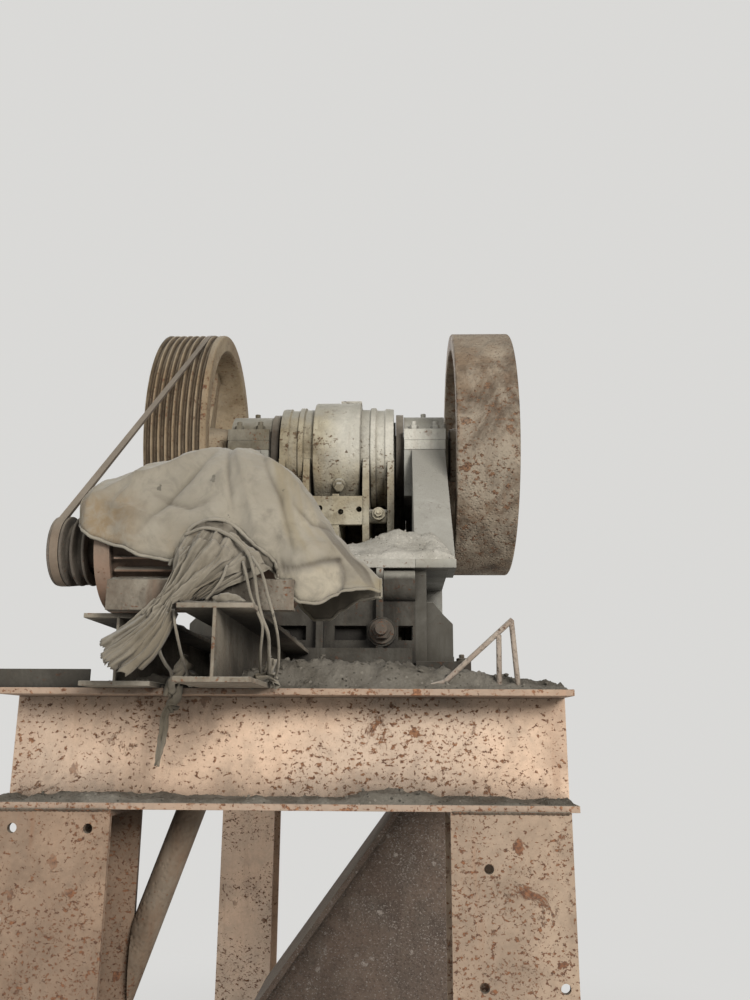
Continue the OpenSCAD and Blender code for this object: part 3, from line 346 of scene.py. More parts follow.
def cloth_material(name, base, alt, stain, stain_share, weave=900.0, dust_share=0.5, shade_and_marks=False):
    """Dusty cloth, with painted shade in the hollows of its folds. With the flag set, the mesh holds the shares of
    painted shade, yellow stain and paler patches.
    """
    g = Graph(name)
    wide = g.noise(4.2, 6, 0.62, 0.6)
    middle = g.noise(17.0, 6, 0.66, 0.8)
    fine = g.noise(95.0, 4, 0.7)
    colour = g.mix(g.band(wide, 0.36, 0.66), base, alt)
    colour = g.mix(g.times(g.band(middle, 0.44, 0.72), 0.6), colour, lit(base, 0.62))
    stained = g.band(g.noise(2.6, 4, 0.6, 1.0, g.moved(offset=(7, 3, 1))), 0.5, 0.64)
    colour = g.mix(g.times(stained, stain_share), colour, stain)
    colour = g.mix(g.times(g.spots(26.0, -0.4, 0.24, 0.8, 4.0), 0.7), colour, lit(base, 0.3))
    colour = g.mix(g.times(g.lies(middle, 0.8, 0.35, 0.95), dust_share), colour, (0.335, 0.31, 0.26))
    if shade_and_marks:
        painted_shade, yellow, pale_share = g.split(g.add("ShaderNodeAttribute", attribute_name="shade_and_marks").outputs["Color"])
        ragged = g.math("MULTIPLY_ADD", g.band(g.noise(26.0, 6, 0.7, 0.5), 0.35, 0.62), 0.8, 0.2)
        # Paler patches, read from the mesh
        colour = g.mix(g.times(pale_share, ragged), colour, (0.38, 0.335, 0.255))
        colour = g.mix(g.times(yellow, ragged), colour, (0.22, 0.15, 0.078))
        # Painted shade from the mesh, laid last
        colour = g.mix(painted_shade, colour, (0.085, 0.07, 0.052))
    # Painted shade in the hollows of the folds
    fold_shade = g.band(g.less(1.0, g.hollows(0.03)), 0.12, 0.7)
    colour = g.mix(g.times(fold_shade, 0.75), colour, (0.055, 0.046, 0.034))
    threads = {"Vector": g.space, "Scale": weave * 0.35}
    warp, weft = (g.add("ShaderNodeTexWave", threads, bands_direction=way).outputs["Fac"] for way in "XZ")
    height = g.plus(g.times(g.plus(warp, weft), 0.1), g.times(g.noise(38.0, 6, 0.7, 0.5), 0.9))
    g.bump(g.plus(height, g.times(fine, 0.35)), 0.0022, 0.85)
    g.shader.inputs["Sheen Weight"].default_value = 0.12
    g.shader.inputs["Sheen Roughness"].default_value = 0.5
    return g.finish(colour, g.math("MULTIPLY_ADD", middle, 0.15, 0.8), specular=0.2)


MAT["tarp"] = cloth_material("tarp_cloth", (0.245, 0.218, 0.17), (0.295, 0.265, 0.21), (0.215, 0.165, 0.08), 0.6,
                             shade_and_marks=True)
MAT["rag"] = cloth_material("sack_cloth", (0.175, 0.153, 0.116), (0.25, 0.222, 0.175), (0.125, 0.1, 0.065), 0.6,
                            600.0, 0.35)
MAT["string"] = cloth_material("twine", (0.2, 0.175, 0.132), (0.27, 0.24, 0.19), (0.12, 0.1, 0.07), 0.4, 1400.0)


# Mesh helpers
def fbm(x, y, z=0.0, scale=1.0, octaves=5, rough=0.55):
    """Fractal noise, about -1 to 1."""
    total, size, amount = 0.0, scale, 1.0
    for _ in range(octaves):
        total += amount * noise.noise(Vector((x * size, y * size, z * size)))
        size *= 2.03
        amount *= rough
    return total


def smooth(value, low, high):
    t = min(1.0, max(0.0, (value - low) / (high - low)))
    return t * t * (3 - 2 * t)


def fall(distance, width):
    """1 in the middle, falling to both sides in a rounded hill."""
    return math.exp(-(distance / width) ** 2)


def grid(rows, columns):
    """Faces of a sheet whose points lie row by row."""
    w = columns + 1
    return [(q, q + 1, q + w + 1, q + w) for i in range(rows) for q in range(i * w, i * w + columns)]


def rings(count, sides):
    """Faces between rings of points, with both ends closed."""
    faces = []
    for i in range(0, (count - 1) * sides, sides):
        for k in range(sides):
            n = (k + 1) % sides
            faces.append((i + k, i + n, i + sides + n, i + sides + k))
    return faces + [tuple(reversed(range(sides))), tuple(range((count - 1) * sides, count * sides))]


def heading(line, i):
    """Direction of a line at its point i."""
    return (line[min(i + 1, len(line) - 1)] - line[max(i - 1, 0)]).normalized()


def placed(name, data):
    obj = D.objects.new(name, data)
    SCENE.collection.objects.link(obj)
    return obj


def piece(name, verts, faces, mat, body="stand", rounded=True):
    mesh = D.meshes.new(name)
    mesh.from_pydata([tuple(v) for v in verts], [], faces)
    mesh.update()
    mesh.materials.append(mat)
    if rounded:
        mesh.polygons.foreach_set("use_smooth", [True] * len(mesh.polygons))
    obj = placed(name, mesh)
    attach(obj, body)
    return obj


class Shape:
    """Vertices and faces that several small forms are gathered in."""

    def __init__(self):
        self.verts = []
        self.faces = []

    def add(self, verts, faces):
        start = len(self.verts)
        self.verts.extend([tuple(v) for v in verts])
        self.faces.extend([tuple(i + start for i in f) for f in faces])

    def make(self, name, mat, body="stand", rounded=False):
        return piece(name, self.verts, self.faces, mat, body, rounded)


def lathe(shape, at, axis, profile, sides, turn=0.0):
    """Solid of revolution: profile holds (radius, height) from bottom to top, closed at both ends."""
    m = Vector((0, 0, 1)).rotation_difference(Vector(axis)).to_matrix()
    verts = []
    for r, h in profile:
        for k in range(sides):
            a = 2 * math.pi * k / sides + turn
            verts.append(Vector(at) + m @ Vector((r * math.cos(a), r * math.sin(a), h)))
    shape.add(verts, rings(len(profile), sides))


def nut(shape, at, axis, across, stud, rng):
    """Hexagon nut with chamfered corners, on a washer, with the threaded end of its stud."""
    r, t, base = across / math.sqrt(3), across * 0.55, across * 0.085
    lathe(shape, at, axis, [(across * 0.6, -0.001), (across * 0.62, 0.0006), (across * 0.6, across * 0.09)], 20)
    lathe(shape, Vector(at) + Vector(axis).normalized() * base, axis,
          [(r * 0.9, 0.0), (r, t * 0.1), (r, t * 0.88), (r * 0.86, t)], 6, rng.uniform(0, 1.0))
    s, h, end = across * 0.3, base + t, base + t + stud
    profile = [(s, base)]
    while h < end - 0.0005:
        profile += [(s, h), (s * 0.9, h + 0.001)]
        h += 0.0022
    lathe(shape, at, axis, profile + [(s * 0.92, end), (s * 0.7, end + 0.0015)], 14)


def bead(shape, a, b, size, rng, out, side):
    """Weld bead: a rippled ridge along the inner corner from a to b, between directions out and side."""
    a, b, out, side = Vector(a), Vector(b), Vector(out), Vector(side)
    steps, arc = max(6, int((b - a).length / (size * 0.55))), 6
    phase = rng.uniform(0, 6)
    verts = []
    for i in range(steps + 1):
        at = a.lerp(b, i / steps)
        wave = 1.0 + 0.13 * math.sin(i * 1.9 + phase) + 0.16 * noise.noise(at * 38)
        s = size * wave * (0.35 if i in (0, steps) else 1.0)
        for k in range(arc):
            u = k / (arc - 1)
            bulge = 1.0 + 0.2 * math.sin(u * math.pi)
            verts.append(at + out * s * (1 - u) * bulge + side * s * u * bulge - (out + side) * 0.0004)
        verts.append(at - (out + side) * 0.002)
    shape.add(verts, rings(steps + 1, arc + 1))


def tube(shape, line, radius, sides, rough):
    """Round section swept along a line of points."""
    verts = []
    normal = None
    for i, p in enumerate(line):
        d = heading(line, i)
        if normal is None:
            normal = d.orthogonal().normalized()
        normal = (normal - d * normal.dot(d)).normalized()
        other = d.cross(normal)
        for k in range(sides):
            a = 2 * math.pi * k / sides
            r = radius * (1 + rough * noise.noise(p * 90 + Vector((k * 0.9, 0, 0))))
            verts.append(p + normal * r * math.cos(a) + other * r * math.sin(a))
    shape.add(verts, rings(len(line), sides))


def spline(points, per):
    """Smooth line through points (Catmull-Rom)."""
    p = [Vector(q) for q in points]
    p = [p[0] * 2 - p[1]] + p + [p[-1] * 2 - p[-2]]
    out = []
    for a, b, c, d in zip(p, p[1:], p[2:], p[3:]):
        for k in range(per):
            t = k / per
            out.append(0.5 * ((2 * b) + (c - a) * t + (2 * a - 5 * b + 4 * c - d) * t * t
                              + (3 * b - a - 3 * c + d) * t ** 3))
    out.append(p[-2])
    return out


# Place that the points of the sacking and the twine are counted from, in millimetres
SACK_ORIGIN = (0, -1600, 1700)


def sack_line(points, per):
    """Smooth line through points of the sacking or the twine."""
    return spline([[(v + start) / 1000 for v, start in zip(p, SACK_ORIGIN)] for p in points], per)


def heap(name, x0, x1, y0, y1, z, height, cell, mat="dust"):
    """Loose dust on a level face: height(x, y) gives its thickness, and it ends where that is negative."""
    nx, ny = max(4, int((x1 - x0) / cell)), max(4, int((y1 - y0) / cell))
    sunk = 0.0015
    verts = []
    for j in range(ny + 1):
        for i in range(nx + 1):
            x, y = x0 + (x1 - x0) * i / nx, y0 + (y1 - y0) * j / ny
            edge = min(smooth(q, -0.2, 1.5) for q in (i, nx - i, j, ny - j))
            verts.append((x, y, z + max(height(x, y) * edge - sunk * (1 - edge), -sunk)))
    faces = [f for f in grid(ny, nx) if max(verts[q][2] for q in f) > z - sunk + 0.0001]
    used = sorted({q for f in faces for q in f})
    index = {q: i for i, q in enumerate(used)}
    piece(name, [verts[q] for q in used], [tuple(index[q] for q in f) for f in faces], MAT[mat])


def stone(shape, at, size, rng):
    """Small broken stone: a distorted icosahedron."""
    bm = bmesh.new()
    bmesh.ops.create_icosphere(bm, subdivisions=1, radius=1.0)
    stretch = Vector((rng.uniform(0.7, 1.3), rng.uniform(0.7, 1.3), rng.uniform(0.45, 0.85)))
    spin = Matrix.Rotation(rng.uniform(0, 6.28), 3, Vector((rng.uniform(-1, 1), rng.uniform(-1, 1), 1)).normalized())
    for v in bm.verts:
        p = Vector((v.co.x * stretch.x, v.co.y * stretch.y, v.co.z * stretch.z)) * rng.uniform(0.82, 1.15)
        v.co = spin @ (p * size) + Vector(at)
    bm.verts.index_update()
    shape.add([v.co.copy() for v in bm.verts], [tuple(v.index for v in f.verts) for f in bm.faces])
    bm.free()


# CAD nodes
DRESS = {
    "stand_beam": "front_beam",
    "stand": "column_rear_left column_rear_right rear_beam side_beams cross_beams",
    "stand_left": "column_front_left",
    "stand_right": "column_front_right",
    "frame": "side_wall_left side_wall_right front_wall",
    "inner": "toggle_block base_flanges packing_rails angle_bar",
    "rear": "rear_wall",
    "beam": "motor_beams",
    "housing": "bearing_housings bearing_caps",
    "dusty": "bearing_covers",
    "barrel": "pitman",
    "rust": "toggle_plate chute_brace jaw_wedge",
    "rod": "bent_rod",
    "channel": "motor_channel",
    "bare": "cheek_plates fixed_jaw swing_jaw eccentric_shaft shaft_end_caps motor_shaft",
    "pulley": "motor_pulley tension_rods",
    "motor": "motor_body motor_fan_cover",
    "flywheel": "flywheel",
    "sheave": "sheave",
    "belt": "drive_belt",
    "chute": "discharge_chute",
    "tarp": "tarp",
    "rag": "rag_bundle",
}
# Edges that are rounded by more or less than the usual width, and nodes that keep theirs
USUAL_ROUND = 0.0018
ROUND = {"flywheel": 0.004, "sheave": 0.002, "pitman": 0.003, "bearing_caps": 0.004, "bearing_housings": 0.004,
         "side_wall_left": 0.003, "side_wall_right": 0.003, "rear_wall": 0.004, "drive_belt": 0.0012}
SHARP = ("column_front_left", "column_front_right", "column_rear_left", "column_rear_right", "discharge_chute",
         "tarp", "rag_bundle")
for kind, names in DRESS.items():
    for name in names.split():
        node = NODES[name]
        node.data.materials.clear()
        node.data.materials.append(MAT[kind])
        if name in SHARP:
            continue
        weld = node.modifiers.new("weld", "WELD")
        weld.merge_threshold = 0.00002
        edge = node.modifiers.new("edge", "BEVEL")
        edge.width = ROUND.get(name, USUAL_ROUND)
        edge.segments = 2
        edge.limit_method = "ANGLE"
        edge.angle_limit = math.radians(32)
        edge.use_clamp_overlap = True
        edge.harden_normals = True
        for polygon in node.data.polygons:
            polygon.use_smooth = True
        split = node.modifiers.new("normals", "WEIGHTED_NORMAL")
        split.keep_sharp = True


# Floor, light and camera
PALE = (0.7, 0.695, 0.68, 1.0)


def stage():
    """Level floor whose paint fades into the plain pale surroundings."""
    mesh = D.meshes.new("floor")
    sides, radii = 64, (3.0, 6.0, 14.0)
    turns = [2 * math.pi * k / sides for k in range(sides)]
    verts = [(0.0, 0.0, 0.0)] + [(r * math.cos(a), r * math.sin(a), 0.0) for r in radii for a in turns]
    faces = [(0, 1 + k, 1 + (k + 1) % sides) for k in range(sides)]
    for i in range(1, (len(radii) - 1) * sides, sides):
        for k in range(sides):
            n = (k + 1) % sides
            faces.append((i + k, i + sides + k, i + sides + n, i + n))
    mesh.from_pydata(verts, [], faces)
    g = Graph("floor_paint")
    tone = g.mix(g.band(g.noise(0.6, 3, 0.5), 0.3, 0.7), (0.72, 0.715, 0.7), (0.76, 0.755, 0.74))
    mesh.materials.append(g.finish(tone, 0.9, specular=0.1))
    far = g.add("ShaderNodeVectorMath", {0: g.space}, operation="LENGTH").outputs["Value"]
    share = g.math("MULTIPLY_ADD", g.band(far, 1.6, 3.4), 0.55, 0.45)
    plain = g.add("ShaderNodeEmission", {"Color": PALE}).outputs[0]
    blend = g.add("ShaderNodeMixShader", {0: share, 1: g.shader.outputs[0], 2: plain})
    g.link(blend.outputs[0], g.out.inputs[0])
    obj = placed("floor", mesh)


def lamp(name, at, aim, size, power, colour):
    data = D.lights.new(name, "AREA")
    data.shape = "RECTANGLE"
    data.size, data.size_y = size
    data.energy = power
    data.color = colour
    obj = placed(name, data)
    obj.location = at
    obj.rotation_euler = (Vector(aim) - Vector(at)).to_track_quat("-Z", "Y").to_euler()


def surroundings():
    """Soft light from all round, and a plain pale colour where the eye, a gloss or clear plastic sees them."""
    SCENE.world = D.worlds.new("world")
    g = Tree(SCENE.world)
    light = g.add("ShaderNodeBackground", {0: (0.86, 0.87, 0.88, 1), 1: 0.3}).outputs[0]
    plain = g.add("ShaderNodeBackground", {0: PALE}).outputs[0]
    rays = g.add("ShaderNodeLightPath").outputs
    seen = g.most(g.most(rays["Is Camera Ray"], rays["Is Glossy Ray"]), rays["Is Transmission Ray"])
    mix = g.add("ShaderNodeMixShader", {0: seen, 1: light, 2: plain})
    g.add("ShaderNodeOutputWorld", {0: mix.outputs[0]})


stage()
lamp("key", (2.7, -6.3, 3.3), (0.1, -0.6, 1.9), (2.0, 1.8), 400, (1.0, 0.975, 0.94))
lamp("fill", (-4.8, -4.4, 3.4), (0, -0.2, 1.7), (3.0, 3.0), 100, (0.96, 0.98, 1.0))
lamp("rim", (-1.5, 4.6, 6.0), (0, 0.2, 2.2), (3.0, 2.4), 260, (1.0, 1.0, 1.0))
surroundings()

EYE = (0.25, -3.392, 1.494)
TURN, TILT, ROLL = math.radians(1.6), math.radians(90 + 14.35), math.radians(0.31)
camera_data = D.cameras.new("camera")
camera_data.sensor_fit = "HORIZONTAL"
camera_data.sensor_width = 36.0
camera_data.lens = 43.15
camera_data.clip_end = 60
camera = placed("camera", camera_data)
camera.matrix_world = (
    Matrix.Translation(EYE)
    @ Matrix.Rotation(TURN, 4, "Z")
    @ Matrix.Rotation(TILT, 4, "X")
    @ Matrix.Rotation(ROLL, 4, "Z")
)
SCENE.camera = camera
SCENE.view_settings.view_transform = "Standard"


# Tarp over the motor, in millimetres: distance from the shaft's shoulder, rise of the ridge, room at the side, hem
TARP_ROWS = [
    (-8, -22, -6, 36), (8, -2, 12, 20), (31, 12, 20, 6), (86, 32, 25, -14), (156, 58, 27, -38), (221, 86, 28, -48),
    (276, 92, 28, -48), (336, 86, 27, -44), (386, 62, 24, -48), (436, 30, 22, -88), (458, 10, 20, -106),
    (481, -20, 18, -124), (521, -78, 12, -134), (548, -116, -2, -120), (596, -166, -44, -96), (644, -204, -96, -84),
]
ALONG, AROUND = 230, 156


def tarp_row(u):
    """Ridge rise, side room and hem height at a distance from the shaft's shoulder, in metres."""
    for a, b in zip(TARP_ROWS, TARP_ROWS[1:]):
        if u <= b[0] or b is TARP_ROWS[-1]:
            t = min(1.0, max(0.0, (u - a[0]) / (b[0] - a[0])))
            t = t * t * (3 - 2 * t) * 0.5 + t * 0.5
            return [(a[k] + (b[k] - a[k]) * t) / 1000 for k in (1, 2, 3)]


def tarp_point(u, a):
    """Point of the cloth: u from the shoulder in millimetres, a the angle from the far hem over the ridge."""
    ridge, side, hem = tarp_row(u)
    c, s = math.cos(a), math.sin(a)
    w = (MOTOR_R + side) * math.copysign(abs(c) ** 0.75, c)
    h = (MOTOR_R + ridge - hem) * max(0.0, s) ** 0.62
    return Vector((SHOULDER_X + u / 1000, MOTOR_Y - w, MOTOR_Z + hem + h))


def to_line(p, points):
    """Distance to a line through points, and the share of its length at the nearest place."""
    best, total, share = 9.0, 0.0, 0.0
    for a, b in zip(points, points[1:]):
        ab, ap = b - a, p - a
        t = min(1.0, max(0.0, ap.dot(ab) / ab.length_squared))
        away = (ap - ab * t).length
        if away < best:
            best, share = away, total + t * ab.length
        total += ab.length
    return best, share / total


def path(*points):
    """Line through points in X and Z of the cloth's front face."""
    return [Vector([v / 1000 for v in p]) for p in points]


# Sharp folds (+) and valleys (-) of the cloth: line, width and height
CREASES = [
    (path((-155, 2120), (-290, 2030), (-455, 1955)), 18, 18),
    (path((-160, 2100), (-235, 1990), (-310, 1900)), 13, -14),
    (path((-135, 2115), (-120, 2020), (-105, 1950)), 7, -8),
    (path((-120, 2115), (-90, 2020), (-60, 1930)), 12, 12),
    (path((-85, 2110), (10, 2030), (80, 1930)), 13, 20),
    (path((-60, 2090), (-10, 1990), (20, 1880)), 12, -15),
    (path((-310, 2060), (-330, 1990), (-390, 1930)), 12, 12),
    (path((-400, 2020), (-420, 1960), (-425, 1905)), 10, 10),
    (path((-280, 1985), (-200, 1960), (-150, 1970)), 9, -11),
    (path((-380, 1965), (-300, 1940), (-245, 1930)), 10, 12),
    (path((50, 2050), (110, 1955), (165, 1870)), 12, 26),
    (path((20, 1970), (60, 1925), (115, 1915)), 8, -10),
    (path((-10, 1900), (50, 1880), (110, 1885)), 8, 7),
    (path((150, 1858), (196, 1800)), 12, -12),
]
# Hem of the part that is lifted over the sacking, seam and round edge of the tuck at the lower right, flap above it
OPENING = path((-234, 1827), (-216, 1868), (-190, 1911), (-136, 1923), (-98, 1910), (-55, 1869),
               (-13, 1835), (-2, 1790))
TUCK = path((1, 1831), (60, 1838), (119, 1846))
LOBE = path((119, 1846), (130, 1822), (130, 1795), (119, 1768), (100, 1745))
FLAP = path((82, 1926), (131, 1867), (164, 1829), (188, 1807))


def inside(p, line):
    """Whether the point lies below the line, between its ends."""
    for a, b in zip(line, line[1:]):
        if a.x <= p.x <= b.x:
            return p.y < a.y + (b.y - a.y) * (p.x - a.x) / (b.x - a.x)
    return False


def lobe_reach(z):
    """X of the tuck's round edge at a height."""
    for a, b in zip(LOBE, LOBE[1:]):
        if b.y <= z <= a.y:
            return a.x + (b.x - a.x) * (a.y - z) / (a.y - b.y)
    return LOBE[-1].x


def tarp_surface(u, a):
    """Place of the folded cloth at u and a, as tarp_point, and its shares of painted shade, stain and paler patches.

    The folds and most of the painted shade, the stain and the paler patches are those of the motor's outer side, where
    near is 1.
    """
    p = tarp_point(u, a)
    near = smooth(MOTOR_Y - p.y, -0.1, 0.03)
    flat = Vector((p.x, p.z))
    push = painted_shade = 0.0
    for line, width, deep in CREASES:
        away, share = to_line(flat, line)
        fade = near * math.sin(math.pi * min(1, 0.12 + 0.8 * share))
        push += fade * deep / 1000 * math.exp(-(away * 1000 / width) ** 1.1)
        # Painted shade along each crease, more in the valleys than on the ridges
        painted_shade += fade * (0.4 if deep < 0 else 0.12) * fall(away, 0.0045)

    # The lifted part, the tuck and the flap, with painted shade along the lifted hem, along the tuck and its round
    # edge, and along the flap's edge
    away, _ = to_line(flat, OPENING)
    push += near * (-0.009 * smooth(away, 0.0, 0.005) if inside(flat, OPENING) else 0.005 * fall(away, 0.007))
    painted_shade += near * 0.8 * fall(away, 0.0045)
    away, _ = to_line(flat, TUCK)
    beside, _ = to_line(flat, LOBE)
    below = flat.y < TUCK[0].y + 0.13 * (flat.x - TUCK[0].x) and -0.01 < flat.x < lobe_reach(flat.y)
    push += near * (0.012 * smooth(min(away, beside), 0.0, 0.011) * (1 - smooth(away, 0.05, 0.09)) if below
                    else -0.004 * fall(away, 0.008) - 0.01 * fall(beside, 0.012))
    painted_shade += near * (0.7 * fall(away, 0.0055) + 0.55 * fall(beside, 0.005))
    # Painted shade low on the far side of the cloth
    painted_shade += (1 - near) * 0.5 * smooth(1.86 - flat.y, 0.0, 0.06)
    edge, share = to_line(flat, FLAP)
    painted_shade += near * 0.62 * (1 - smooth(edge, 0.007, 0.01)) * math.sin(math.pi * (0.08 + 0.88 * share)) ** 0.5

    # Wrinkles, and the wave of the hem
    push += 0.0085 * (0.45 - abs(fbm(p.x * 1.4, p.y, p.z, 5.0, 2, 0.4)))
    push += 0.0045 * (0.3 - abs(fbm(p.x + 3, p.y, p.z * 0.7, 13.0, 3, 0.5)))
    push += 0.0012 * fbm(p.x, p.y + 9, p.z, 46.0, 3)
    hem = smooth(abs(math.cos(a)), 0.93, 1.0)
    push += hem * 0.01 * math.sin(u / 19.0 + 1.5 * math.sin(u / 61.0))
    out = Vector((0.0, p.y - MOTOR_Y, p.z - MOTOR_Z))
    if out.length > 1e-6:
        out.normalize()
    p = p + out * push
    p.z -= hem * 0.006 * (1 + fbm(p.x, 0, 0, 14.0, 3))

    stain = near * smooth(-flat.x, 0.27, 0.36) * smooth(2.00 - flat.y, 0.0, 0.05) * 0.75
    stain += near * 0.5 * fall(flat.x + 0.2, 0.05) * fall(flat.y - 1.885, 0.03)
    pale = near * (0.8 if below else 0.0) * smooth(away, 0.0, 0.02)
    pale += near * 0.6 * fall(flat.x - 0.05, 0.03) * fall(flat.y - 1.935, 0.025)
    return p, (min(1.0, painted_shade), min(1.0, stain), min(1.0, pale), 1.0)


def thicken(obj):
    thick = obj.modifiers.new("thick", "SOLIDIFY")
    thick.thickness = 0.0016
    thick.offset = 0


def tarp():
    verts, shade_and_marks = [], []
    first, last = TARP_ROWS[0][0], TARP_ROWS[-1][0]
    for i in range(ALONG + 1):
        for k in range(AROUND + 1):
            place, mark = tarp_surface(first + (last - first) * i / ALONG, math.pi * k / AROUND)
            verts.append(place)
            shade_and_marks.extend(mark)
    obj = piece("tarp_sheet", verts, grid(ALONG, AROUND), MAT["tarp"])
    obj.data.attributes.new("shade_and_marks", "FLOAT_COLOR", "POINT").data.foreach_set("color", shade_and_marks)
    thicken(obj)
    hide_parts("tarp")
    return obj


def tarp_hem(obj):
    """Folded seams: along both hems and both ends, and round the lifted part."""
    v = obj.data.vertices
    w = AROUND + 1
    shape = Shape()
    for radius, seams in (
        (0.0036, (range(AROUND, len(v), 2 * w), range(0, len(v), 2 * w))),
        (0.003, (range(ALONG * w, len(v), 2), range(0, w, 2))),
    ):
        for seam in seams:
            tube(shape, [v[q].co.copy() for q in seam], radius, 6, 0.25)
    front = [q.co for q in v if q.co.y < MOTOR_Y - 0.02]
    line = []
    for p in spline([(p.x, 0.0, p.y) for p in OPENING], 9):
        at = min(front, key=lambda q: (q.x - p.x) ** 2 + (q.z - p.z) ** 2)
        line.append(Vector((p.x, at.y - 0.0015, p.z)))
    tube(shape, line, 0.004, 7, 0.5)
    return shape.make("tarp_hem", MAT["tarp"], rounded=True)


tarp_obj = tarp()
hem_obj = tarp_hem(tarp_obj)


# Torn sacking
def pleat(s, t, folds, seed, drift=0.6):
    """Irregular long folds, about -1 to 1, across s and along t."""
    q = s * folds + drift * noise.noise(Vector((t * 2.2, s * 2.0, seed * 1.7)))
    index = math.floor(q)
    sharp = 1 - abs(2 * (q - index) - 1) ** 0.8
    tall = 0.65 + 0.6 * noise.noise(Vector((index * 7.3, t * 1.6, seed)))
    return (2 * sharp - 1) * tall


def torn(s, t, seed, fine):
    """Uneven end of a torn cloth, about -1 to 1 at its last tenth."""
    return noise.noise(Vector((s * fine, seed, 4))) * smooth(t, 0.93, 1.0)


def rag(name, verts, rows, columns):
    obj = piece(name, verts, grid(rows, columns), MAT["rag"])
    thicken(obj)
    return obj


def flow(name, folds, deep, seed, crown, belly, end, left, right):
    """Gathered cloth between two side lines, pleated along its run."""
    a, b = sack_line(left, 12), sack_line(right, 12)
    both = [p + q for p, q in zip(a, b)]
    nv, rows = folds * 16, len(a) - 1
    verts = []
    for i in range(rows + 1):
        t = i / rows
        d = heading(both, i)
        face = (b[i] - a[i]).cross(d).normalized()
        if face.y > 0:
            face = -face
        for k in range(nv + 1):
            s = k / nv
            arch = math.sin(math.pi * s)
            p = a[i].lerp(b[i], s)
            p.z += crown * arch ** 0.8 * (1 - smooth(t, 0.0, 0.6))
            rise = deep * pleat(s, t, folds, seed, 1.1) + 0.3 * deep * pleat(s, t, folds * 2.7, seed + 3, 1.4)
            rise += belly * arch + 0.004 * noise.noise(Vector((s * 9, t * 9, seed)))
            verts.append(p + face * rise + d * end * torn(s, t, seed, 22))
    return rag(name, verts, rows, nv)


def ribbon(name, points, width, folds, deep, seed, twist, lean, spread, curl=0.0):
    """A folded strip of sacking along points: folds pleats across it, deep metres high, its sides curled back."""
    line = sack_line(points, 9)
    nv, rows = max(12, folds * 8), len(line) - 1
    verts = []
    for i, p in enumerate(line):
        t = i / rows
        d = heading(line, i)
        face = Vector(lean)
        face = Matrix.Rotation(twist * t, 3, d) @ (face - d * face.dot(d)).normalized()
        side = d.cross(face)
        wide = width * spread(t)
        for k in range(nv + 1):
            s = k / nv - 0.5
            h = deep * pleat(s + 0.5, t, folds, seed) - curl * (2 * s) ** 4
            h += 0.003 * noise.noise(Vector((t * 9, s * 9 + seed, 1)))
            verts.append(p + side * s * wide * (1 - 12 * curl * abs(s)) + face * h + d * 0.014 * torn(s, t, seed, 26))
    return rag(name, verts, rows, nv)


# The sack comes out from under the lifted part and is drawn together over the channel
FLOWS = [
    ("sack_main", 5, 0.01, 3, 0.04, 0.012, 0.012,
     [(-208, 34, 168), (-214, 20, 136), (-216, 6, 100), (-224, -6, 62), (-232, -14, 34)],
     [(-30, 38, 130), (-62, 20, 114), (-102, 2, 96), (-150, -12, 66), (-176, -22, 38)]),
    ("sack_front", 4, 0.0095, 8, 0.02, 0.012, 0.03,
     [(-200, 20, 150), (-210, 4, 115), (-220, -10, 76), (-236, -18, 40), (-262, -20, 12)],
     [(-90, 16, 142), (-122, -4, 106), (-160, -20, 70), (-190, -30, 38), (-208, -36, 4)]),
    ("sack_back", 5, 0.0065, 5, 0.016, 0.004, 0.02,
     [(-120, 44, 150), (-128, 22, 112), (-150, 6, 78), (-176, 0, 46)],
     [(-18, 44, 118), (-52, 24, 98), (-92, 6, 76), (-136, 0, 50)]),
]
# Thick folded strips that fan out to the lower left: points, width and folds
STRIPS = [
    ([(-236, -12, 44), (-252, -20, 22), (-285, -20, -6), (-334, -10, -38)], 0.026, 2),
    ([(-228, -22, 38), (-246, -34, 10), (-284, -34, -22), (-334, -24, -52)], 0.028, 2),
    ([(-220, -30, 32), (-238, -44, 0), (-276, -46, -36), (-330, -38, -70)], 0.03, 2),
    ([(-212, -34, 28), (-229, -50, -8), (-264, -53, -48), (-314, -48, -86)], 0.028, 2),
    ([(-204, -32, 24), (-219, -48, -16), (-248, -52, -58), (-290, -48, -94)], 0.026, 2),
    ([(-198, -26, 22), (-210, -40, -20), (-230, -44, -58), (-258, -42, -88)], 0.022, 2),
    ([(-218, 0, 50), (-238, -6, 24), (-268, -2, 2), (-300, 2, -10)], 0.02, 1),
]
# Torn lumps on the edge of the beam and on the flange
LUMPS = [
    ([(-205, 130, -60), (-226, 138, -82), (-240, 150, -104), (-246, 166, -124)], 0.044, 3),
    ([(-182, 120, -100), (-206, 142, -96), (-230, 160, -108), (-242, 164, -140)], 0.036, 3),
    ([(-228, 160, -114), (-236, 164, -138), (-244, 162, -156), (-236, 160, -170)], 0.026, 2),
    ([(-20, 130, -60), (-30, 138, -84), (-44, 152, -102), (-66, 164, -120)], 0.024, 2),
    ([(-52, 120, -98), (-30, 138, -94), (-14, 148, -102), (-22, 160, -110)], 0.022, 2),
    ([(-120, -25, 42), (-98, -32, 52), (-78, -28, 50), (-58, -22, 38)], 0.03, 2),
]
